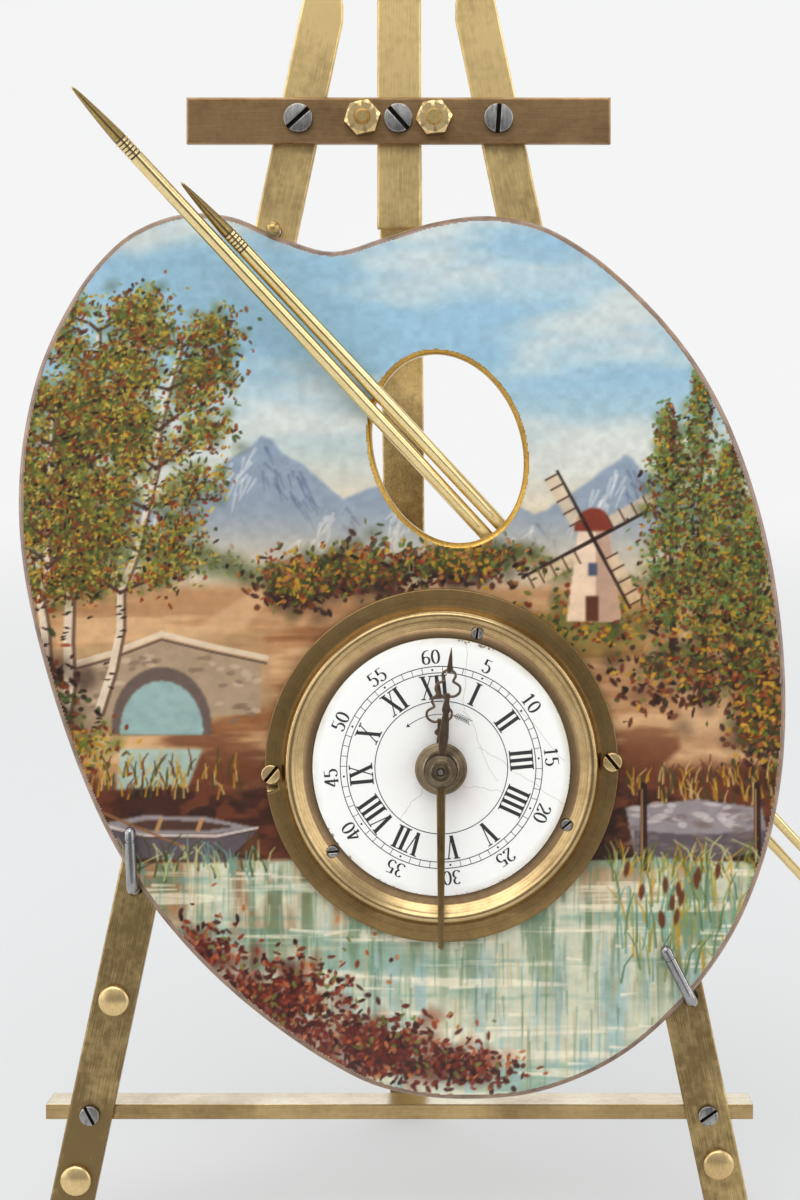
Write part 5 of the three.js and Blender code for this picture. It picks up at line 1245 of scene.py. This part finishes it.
wash((228, 214, 190), 0.75 * ramp(-GZ, -166, -150))
for x in range(-84, 88, 3):
    lift = 4 * math.sin(x * 0.09) + rng.uniform(-1, 2)
    dab(x, HORIZON_Z + lift, 4.5, rng.uniform(2.5, 5), 0, (138 + x * 0.2, 140, 104), 0.6, 1.5)
    foliage(x, HORIZON_Z + lift + 1, 4, 2.5, 14, [MOSS, LEAF_GREEN, (150, 120, 80)], 0.8, 0.5)

# Meadow with a pale winding track, and the dark bank above the water
wash((192, 156, 118), ramp(-GZ, -150, -146))
streaks = blotches(26, 3.2)
wash((216, 186, 150), 0.9 * ramp(streaks, 0.5, 0.8) * ramp(-GZ, -149, -140))
wash((154, 108, 70), 0.85 * ramp(1 - streaks, 0.5, 0.85) * ramp(-GZ, -146, -136))
wash((122, 76, 48), 0.9 * ramp(blotches(20, 4), 0.32, 0.72) * ramp(-GZ, -130, -108))
TRACK = (218, 190, 156)
area([(-30, 148), (-26, 148), (-34, 138), (-60, 128), (-66, 116), (-46, 104), (-64, 103), (-82, 116),
      (-76, 130), (-44, 139)], TRACK, 0.65, 5)
area([(58, 146), (61, 146), (64, 134), (78, 122), (72, 108), (54, 104), (62, 112), (62, 122), (54, 134)],
     TRACK, 0.65, 5)
bank = GZ + 7 * (blotches(14, 6) - 0.5)
wash(EARTH, 0.95 * ramp(-bank, -111, -103))
wash(DEEP_EARTH, 0.9 * ramp(blotches(9, 4), 0.42, 0.7) * ramp(-bank, -109, -101))
wash(UMBER, 0.8 * ramp(blotches(6, 3), 0.52, 0.75) * ramp(-bank, -106, -98))

# Lake: pale and teal bands, upright reflections below the bank and white ripples
water = GZ + 2.5 * (blotches(24, 4) - 0.5)
surface = ramp(-water, -SHORE_Z, 1 - SHORE_Z)
wash((208, 216, 204), surface)
wash((160, 124, 90), 0.85 * surface * ramp(blotches(3.2, 30), 0.35, 0.75) * ramp(GZ - 0.12 * GX, 62, 88))
wash(TEAL, 0.55 * surface * ramp(blotches(40, 3.4), 0.5, 0.85))
wash((168, 198, 208), 0.8 * surface * ramp(blotches(2.2, 26), 0.42, 0.8) * ramp(-GZ, -78, -60))
wash(WATER_GREEN, 0.65 * surface * ramp(blotches(2.0, 20), 0.5, 0.8) * ramp(GZ, 48, 72))
wash(FOAM, 0.7 * surface * ramp(blotches(34, 1.8), 0.62, 0.85))
for _ in range(520):
    x, z = rng.uniform(-62, 80), rng.uniform(46, 87)
    tone = [(226, 226, 214), TEAL, (176, 200, 212), (196, 176, 132), WATER_GREEN][rng.integers(5)]
    stroke([(x, z), (x + rng.uniform(-0.4, 0.4), z - rng.uniform(3, 13))], 0.55, 0.2, tone, 0.4)
for _ in range(50):
    x, z = rng.uniform(-66, 78), rng.uniform(40, 86)
    reach = rng.uniform(3, 11)
    stroke([(x, z), (x + reach, z + rng.uniform(-0.5, 0.5))], 0.7, 0.2, FOAM, 0.7)

# Stone bridge over a brook on the left
area([(-76, 134), (-30, 138), (-27, 122), (-40, 118), (-60, 116), (-80, 118)], (186, 160, 126), 0.7, 4)
area([(-74, 128), (-52, 136), (-30, 131), (-30, 120), (-74, 116)], (178, 162, 142))
area([(-63, 115)] + arc(-52, 117, 11, 13, 180, 0, 14) + [(-41, 115)], (118, 104, 100))
area([(-61, 115)] + arc(-52, 116, 9.2, 11, 180, 0, 14) + [(-43, 115)], (160, 190, 196))
area([(-61, 112), (-43, 112), (-46, 104), (-62, 103)], (176, 204, 206), 0.9, 2)
for _ in range(110):
    x, z = rng.uniform(-73, -31), rng.uniform(117, 133)
    if math.hypot((x + 52) / 12.5, (z - 117) / 13.5) > 1 and z < 135 - abs(x + 52) * 0.3:
        tone = (140, 122, 108) if rng.random() < 0.6 else (206, 192, 174)
        dab(x, z, rng.uniform(0.9, 1.7), rng.uniform(0.5, 0.8), rng.uniform(-12, 12), tone, 0.6)
stroke([(-75, 129.5), (-63, 133), (-52, 137.3), (-41, 134.5), (-29, 132)], 1.3, 1.2, (224, 214, 200))
stroke([(-75, 128.4), (-63, 131.8), (-52, 136), (-41, 133.3), (-29, 130.8)], 0.5, 0.5, (110, 92, 84))

# Windmill on a knoll at the right
MILL_X, MILL_Z = 43.0, 158.0
dab(MILL_X, 138, 17, 8, 0, (150, 132, 74), 0.9, 2)
foliage(MILL_X, 141, 22, 8, 260, [MOSS, LEAF_GREEN, OCHRE, RUST], 1.0)
area([(37, 140), (49, 140), (46.4, 160), (39.6, 160)], (232, 214, 196))
area([(43.6, 140), (49, 140), (46.4, 160), (43.4, 160)], (190, 162, 146), 0.9)
area([(38.8, 160)] + arc(MILL_X, 160, 4.3, 5, 180, 0, 10) + [(47.2, 160)], (142, 66, 46))
area([(41.4, 140), (44.2, 140), (44.2, 145.5), (41.4, 145.5)], (104, 62, 44))
area([(41.8, 150), (43.8, 150), (43.8, 153), (41.8, 153)], (92, 100, 124))
SAIL_LENGTH, SAIL_WIDTH, SAIL_TURN = 17, 3.2, 28
SAIL_CLOTH = ((5, 0.4), (16.5, 0.4), (16.5, 3.4), (5, 3.0))


def on_sail(turn, *places):
    """Places on a sail at an angle, each given as its distances along the sail and to its side."""
    dx, dz = polar(1, turn)
    return [(MILL_X + along * dx - across * dz, MILL_Z + along * dz + across * dx)
            for along, across in places]


for turn in range(SAIL_TURN, SAIL_TURN + 360, 90):
    stroke(on_sail(turn, (0, 0), (SAIL_LENGTH, 0)), 0.9, 0.6, UMBER)
    area(on_sail(turn, *SAIL_CLOTH), (222, 202, 176), 0.75)
    for along in (5, 8, 11, 14, 16.5):
        stroke(on_sail(turn, (along, 0), (along, SAIL_WIDTH)), 0.4, 0.4, (92, 62, 46))

# Poplars and bushes at the right edge, and bushes under the thumb hole
for x, z, tall in ((60, 138, 46), (67, 136, 56), (73.5, 132, 44), (79, 126, 38)):
    stroke(wander((x, z - 6), (x, z + tall * 0.8), 0.4), 1.5, 0.5, UMBER)
    for share in np.linspace(0.06, 1, 12):
        spread = 5.2 * math.sin(math.pi * (0.12 + 0.85 * share)) + 0.8
        dark, light = [MOSS, UMBER, EARTH], [LEAF_GREEN, (150, 152, 70), OCHRE, (110, 150, 96), RUST]
        foliage(x, z + tall * share, spread * 1.4, tall * 0.09, 40, dark, 0.85)
        foliage(x - 1.2, z + tall * share + 1, spread * 1.25, tall * 0.09, 52, light, 0.7)
BUSHES = ((66, 128, 20, 9), (80, 118, 8, 12), (-8, 150, 15, 7), (14, 152, 16, 5), (-22, 148, 9, 6))
for x, z, rx, rz in BUSHES:
    foliage(x, z, rx, rz, 240, [UMBER, DEEP_EARTH, EARTH], 1.2)
    foliage(x, z + 2, rx, rz, 260, [MOSS, LEAF_GREEN, RUST, OCHRE, (172, 120, 70)], 0.9)

# Birches at the left, with yellow and rust leaves
BIRCHES = (((-74, 116), (-66, 204), 3.0), ((-66, 120), (-48, 200), 2.3), ((-79, 124), (-76, 186), 2.6))
BIRCH_LEAVES = [LEAF_GREEN, (146, 146, 66), OCHRE, (196, 182, 96), (160, 92, 44)]
for foot, top, width in BIRCHES:
    trunk = wander(foot, top, 0.7, 9)
    stroke([(x + 0.5, z) for x, z in trunk], width, 0.8, (120, 96, 82))
    stroke(trunk, width * 0.75, 0.5, (232, 224, 212))
    for x, z in trunk:
        for _ in range(4):
            dab(x + rng.normal(0, 0.5), z + rng.uniform(-4, 4), 0.9, 0.3, rng.uniform(-20, 20), UMBER, 0.8)
    for x, z in trunk[3:]:
        for side in (-1, 1):
            reach = rng.uniform(7, 15)
            twig = wander((x, z), (x + side * reach, z + reach * rng.uniform(0.4, 0.9)), 0.5, 5)
            stroke(twig, 0.8, 0.3, (86, 60, 48))
            for px, pz in twig[2:]:
                foliage(px, pz, 6.0, 5.0, 30, [MOSS, EARTH, RUST, UMBER], 0.85)
                foliage(px, pz + 1, 6.5, 5.0, 44, BIRCH_LEAVES, 0.7)
foliage(-78, 118, 10, 16, 420, [UMBER, DEEP_EARTH, RUST, MOSS], 1.3)
foliage(-74, 112, 14, 7, 260, [LEAF_GREEN, OCHRE, RUST, EARTH], 0.9)
grass(-82, -34, 101, 108, 150, 4.0, [MOSS, OCHRE, STRAW, EARTH])
grass(50, 84, 99, 106, 120, 4.0, [MOSS, OCHRE, STRAW, EARTH])

# A boat drawn up on the left shore and a stone jetty on the right one
area([(-66, 95), (-60, 88), (-38, 87), (-31, 94), (-40, 92.5), (-56, 92.5)], STONE_SHADE)
area([(-66, 95.4), (-56, 93.2), (-40, 93.2), (-31, 94.6), (-42, 97), (-56, 97.4)], STONE)
area([(-60, 95.2), (-55, 94.2), (-41, 94.2), (-36, 94.9), (-43, 96), (-55, 96.4)], (92, 66, 56))
stroke([(-66, 95.4), (-56, 93), (-40, 92.8), (-31, 94.6)], 0.8, 0.6, STONE_LIGHT)
for x in (-53, -44):
    stroke([(x, 94.2), (x + 0.8, 96.4)], 1.0, 0.9, (196, 160, 118))
stroke([(-70, 100), (-46, 90)], 0.8, 0.5, (150, 112, 76))
area([(50, 99), (66, 101), (80, 99), (82, 90), (66, 87), (52, 89)], STONE)
area([(52, 94), (66, 93), (81, 94), (82, 90), (66, 87), (52, 89)], STONE_SHADE)
for _ in range(60):
    x, z = rng.uniform(51, 80), rng.uniform(89, 100)
    tone = STONE_LIGHT if z > 95 and rng.random() < 0.7 else (134, 120, 124)
    dab(x, z, rng.uniform(1.2, 2.6), rng.uniform(0.5, 0.9), rng.uniform(-10, 10), tone, 0.6)
for x in (54, 79):
    stroke([(x, 86), (x, 104)], 1.7, 1.4, UMBER)
    stroke([(x - 0.4, 88), (x - 0.4, 103)], 0.5, 0.4, (178, 140, 104))
for x0, x1, colours in ((-78, -28, [TEAL, SEDGE, MOSS]), (46, 84, [LEAF_GREEN, SEDGE, OCHRE])):
    grass(x0, x1, 82, 88, 90, 5.0, colours, 0.5)

# Reeds on the right and a drift of red-brown leaves at the bottom left
grass(48, 76, 60, 80, 110, 9.0, [(96, 128, 92), (150, 160, 92), TEAL, OCHRE], 0.25)
for x, z in zip(rng.uniform(50, 72, 12), rng.uniform(74, 86, 12)):
    dab(x, z, 0.75, 2.2, rng.uniform(-12, 12), (112, 66, 40), 0.95)
DRIFT = ((-26, 56, 20, 11, 620), (-6, 46, 18, 8, 520), (14, 42, 14, 5, 260), (-44, 66, 12, 9, 240))
RED_LEAVES = [(104, 36, 22), (82, 32, 22), (132, 50, 28), (58, 26, 18)]
PALE_LEAVES = [(176, 98, 62), (120, 128, 66), (188, 130, 84)]
for x, z, rx, rz, count in DRIFT:
    foliage(x, z, rx, rz, count, RED_LEAVES, 1.05)
    foliage(x + 2, z + 2, rx * 1.2, rz * 1.2, count // 7, PALE_LEAVES, 0.9)

# A warm varnish below the sky and brush texture over all, then the colours as shaders take them
wash_warm = ramp(-GZ, -172, -138)[..., None]
canvas *= 1 - wash_warm * (1 - np.array(VARNISH_LOW)) - (1 - wash_warm) * (1 - np.array(VARNISH_HIGH))
canvas *= (0.96 + 0.06 * blotches(1.8, 1.4, 2))[..., None]
canvas *= 1 - DEEPEN * (1 - canvas / 255)
shares = np.clip(canvas, 0, 255) / 255
linear = np.where(shares <= 0.04045, shares / 12.92, ((shares + 0.055) / 1.055) ** 2.4)
kept = inside(offset_loop(outline, PAINT_MARGIN), GX, GZ)
thumb_margin = ellipse(THUMB_X, THUMB_Z, THUMB_SHORT + PAINT_MARGIN, THUMB_LONG + PAINT_MARGIN, THUMB_TURN,
                       96)
kept &= ~inside(thumb_margin, GX, GZ)
kept &= np.hypot(GX - DIAL_X, GZ - DIAL_Z) > DRUM_R + 4 * SEAT


def painting_material():
    material, tree, shader = new_material("painted_glaze")
    colour = node(tree, "ShaderNodeVertexColor", layer_name="paint").outputs["Color"]
    coordinates = node(tree, "ShaderNodeTexCoord").outputs["Object"]
    tone = noise(tree, coordinates, 90.0, 4.0)
    roughness = stretch(tree, tone, GLAZE_LOW, GLAZE_HIGH, 0.2, 0.32)
    feed(tree, shader, {"Base Color": colour, "Roughness": roughness, "Specular IOR Level": 0.3,
                        "Coat Weight": 0.2, "Coat Roughness": COAT_ROUGH})
    return material


def painted_strip(name, low, high, material):
    """The painting between two heights, as squares whose corners are all inside the painted face."""
    r0, r1 = np.searchsorted(grid_z, (low, high))
    part = kept[r0:r1 + 1]
    index = np.arange(part.size).reshape(part.shape)
    whole = part[:-1, :-1] & part[:-1, 1:] & part[1:, :-1] & part[1:, 1:]
    corners = [index[:-1, :-1], index[:-1, 1:], index[1:, 1:], index[1:, :-1]]
    quads = np.stack([c[whole] for c in corners], axis=1)
    used, renumbered = np.unique(quads, return_inverse=True)
    x, z = GX[r0:r1 + 1].ravel()[used], GZ[r0:r1 + 1].ravel()[used]
    points = np.stack([x, np.full(x.shape, PALETTE_FRONT - PAINT_LIFT), z], axis=1)
    mesh = bpy.data.meshes.new(name)
    mesh.from_pydata(points.tolist(), [], renumbered.reshape(quads.shape).tolist())
    mesh.transform(EASEL)
    colours = np.ones((len(used), 4))
    colours[:, :3] = linear[r0:r1 + 1].reshape(-1, 3)[used]
    layer = mesh.color_attributes.new("paint", "FLOAT_COLOR", "POINT")
    layer.data.foreach_set("color", colours.ravel())
    add_piece(name, mesh, material)


painted_glaze = painting_material()
STRIP_NAMES = ("painting_lake", "painting_meadow", "painting_hills", "painting_sky")
STRIP_EDGES = (PAINT_LOW, 100.0, 146.0, 180.0, PAINT_HIGH)
for name, low, high in zip(STRIP_NAMES, STRIP_EDGES, STRIP_EDGES[1:]):
    painted_strip(name, low, high, painted_glaze)

# Stage: pale floor that turns up into a backdrop, soft lamps and the camera of the photograph
FLOOR_WIDTH, FLOOR_FRONT, FLOOR_BACK, BACKDROP_R, BACKDROP_TOP = 6.0, -1.0, 1.2, 0.6, 3.0


def floor_mesh():
    profile = [(FLOOR_FRONT, 0.0), (FLOOR_BACK, 0.0)]
    for i in range(1, 13):
        dy, dz = polar(BACKDROP_R, 90 * i / 12 - 90)
        profile.append((FLOOR_BACK + dy, BACKDROP_R + dz))
    profile.append((FLOOR_BACK + BACKDROP_R, BACKDROP_TOP))
    points = [(side * FLOOR_WIDTH / 2, y, z) for y, z in profile for side in (-1, 1)]
    faces = [(2 * i, 2 * i + 1, 2 * i + 3, 2 * i + 2) for i in range(len(profile) - 1)]
    mesh = bpy.data.meshes.new("floor")
    mesh.from_pydata(points, [], faces)
    for face in mesh.polygons:
        face.use_smooth = True
    return mesh


FLOOR_GLOW, BACKDROP_GLOW = 0.5, 0.85
TONE_REACH, GLOW_NEAR, GLOW_FAR = 1.1, 0.3, 1.0
MIRROR_NEAR, MIRROR_FAR = 0.1, 0.45
# Painted shade: the floor's glow is darker near the easel than far off
NEAR_SHADED_TONE, FAR_TONE = srgb(204, 205, 204), srgb(251, 251, 251)


def floor_material():
    """A matt pale floor that glows, though it is no lamp: the camera sees it paler the farther off it lies,
    in painted shade near the easel, and metal sees it bright behind, a painted reflection.
    """
    material, tree, shader = new_material("pale_floor")
    tree.nodes.remove(shader)
    coordinates = node(tree, "ShaderNodeTexCoord").outputs["Object"]
    clouds = noise(tree, coordinates, 3.0, 2.0)
    tone = blend(tree, clouds, srgb(218, 218, 218), srgb(226, 226, 226))
    matt = node(tree, "ShaderNodeBsdfDiffuse", {"Color": tone})
    parts = parts_of(tree, coordinates)
    away = length_of(tree, {"X": parts["X"], "Y": parts["Y"]})
    shown = blend(tree, stretch(tree, away, 0.0, TONE_REACH), NEAR_SHADED_TONE, FAR_TONE)
    glow = node(tree, "ShaderNodeEmission", {"Color": shown, "Strength": 1.0})
    rays = node(tree, "ShaderNodeLightPath").outputs
    behind = stretch(tree, parts["Y"], MIRROR_NEAR, MIRROR_FAR)
    mirrored_back = math_node(tree, "MULTIPLY", rays["Is Glossy Ray"], behind)
    by_distance = stretch(tree, away, GLOW_NEAR, GLOW_FAR, FLOOR_GLOW, BACKDROP_GLOW)
    seen = math_node(tree, "MULTIPLY", rays["Is Camera Ray"], by_distance)
    share = math_node(tree, "MAXIMUM", seen, mirrored_back)
    mixed = node(tree, "ShaderNodeMixShader", {0: share, 1: matt.outputs[0], 2: glow.outputs[0]})
    tree.links.new(mixed.outputs[0], tree.nodes["Material Output"].inputs["Surface"])
    return material


floor = added("floor", floor_mesh())
floor.data.materials.append(floor_material())

DIM, BRIGHT = 0.2, 0.85


def studio_world():
    """A room that is bright above and behind, and dim low down on the camera's side."""
    world = bpy.data.worlds.new("studio")
    world.use_nodes = True
    tree = world.node_tree
    direction = node(tree, "ShaderNodeTexCoord").outputs["Generated"]
    ways = parts_of(tree, direction)
    above = stretch(tree, ways["Z"], -0.1, 0.6, DIM, BRIGHT)
    behind = stretch(tree, ways["Y"], -0.85, -0.2, DIM, BRIGHT)
    level = math_node(tree, "MAXIMUM", above, behind)
    lit = node(tree, "ShaderNodeBackground", {"Color": srgb(240, 243, 248), "Strength": level})
    seen = node(tree, "ShaderNodeBackground", {"Color": FAR_TONE, "Strength": 1.0})
    camera_rays = node(tree, "ShaderNodeLightPath").outputs["Is Camera Ray"]
    mixed = node(tree, "ShaderNodeMixShader", {0: camera_rays, 1: lit.outputs[0], 2: seen.outputs[0]})
    tree.links.new(mixed.outputs[0], tree.nodes["World Output"].inputs["Surface"])
    return world


bpy.context.scene.world = studio_world()


def area_lamp(name, place, target, size, power):
    light = bpy.data.lights.new(name, "AREA")
    light.shape = "RECTANGLE"
    light.size, light.size_y = size
    light.energy = power
    lamp = added(name, light)
    lamp.location = place
    lamp.rotation_euler = (Vector(target) - Vector(place)).to_track_quat("-Z", "Y").to_euler()


AIM = (0.0, -0.02, 0.14)
LAMPS = (
    ("key", (-0.25, -0.75, 1.15), (1.3, 0.8), 6.9),
    ("fill_left", (-0.95, -0.8, 0.45), (0.8, 0.8), 2.2),
    ("fill_right", (0.95, -0.8, 0.45), (0.8, 0.8), 2.2),
    ("back_top", (0.0, 0.35, 1.2), (1.0, 0.6), 5.0),
    ("edge_left", (-1.0, 0.0, 0.4), (0.3, 1.0), 2.6),
    ("edge_right", (1.0, 0.0, 0.4), (0.3, 1.0), 2.6),
)
for name, place, size, power in LAMPS:
    area_lamp(name, place, AIM, size, power)

CAMERA_EASEL = Vector((19.1, -600.0, 167.8))
CAMERA_SHIFT, CAMERA_LENS, CAMERA_SENSOR = (-0.0708, -0.0875), 81.0, 36.0
camera_data = bpy.data.cameras.new("photo_camera")
camera_data.lens = CAMERA_LENS
camera_data.sensor_width = CAMERA_SENSOR
camera_data.shift_x, camera_data.shift_y = CAMERA_SHIFT
camera = added("photo_camera", camera_data)
camera.location = EASEL @ CAMERA_EASEL
camera.rotation_euler = (TILT @ Matrix.Rotation(math.pi / 2, 4, "X")).to_euler()
bpy.context.scene.camera = camera
bpy.context.scene.view_settings.view_transform = "Standard"
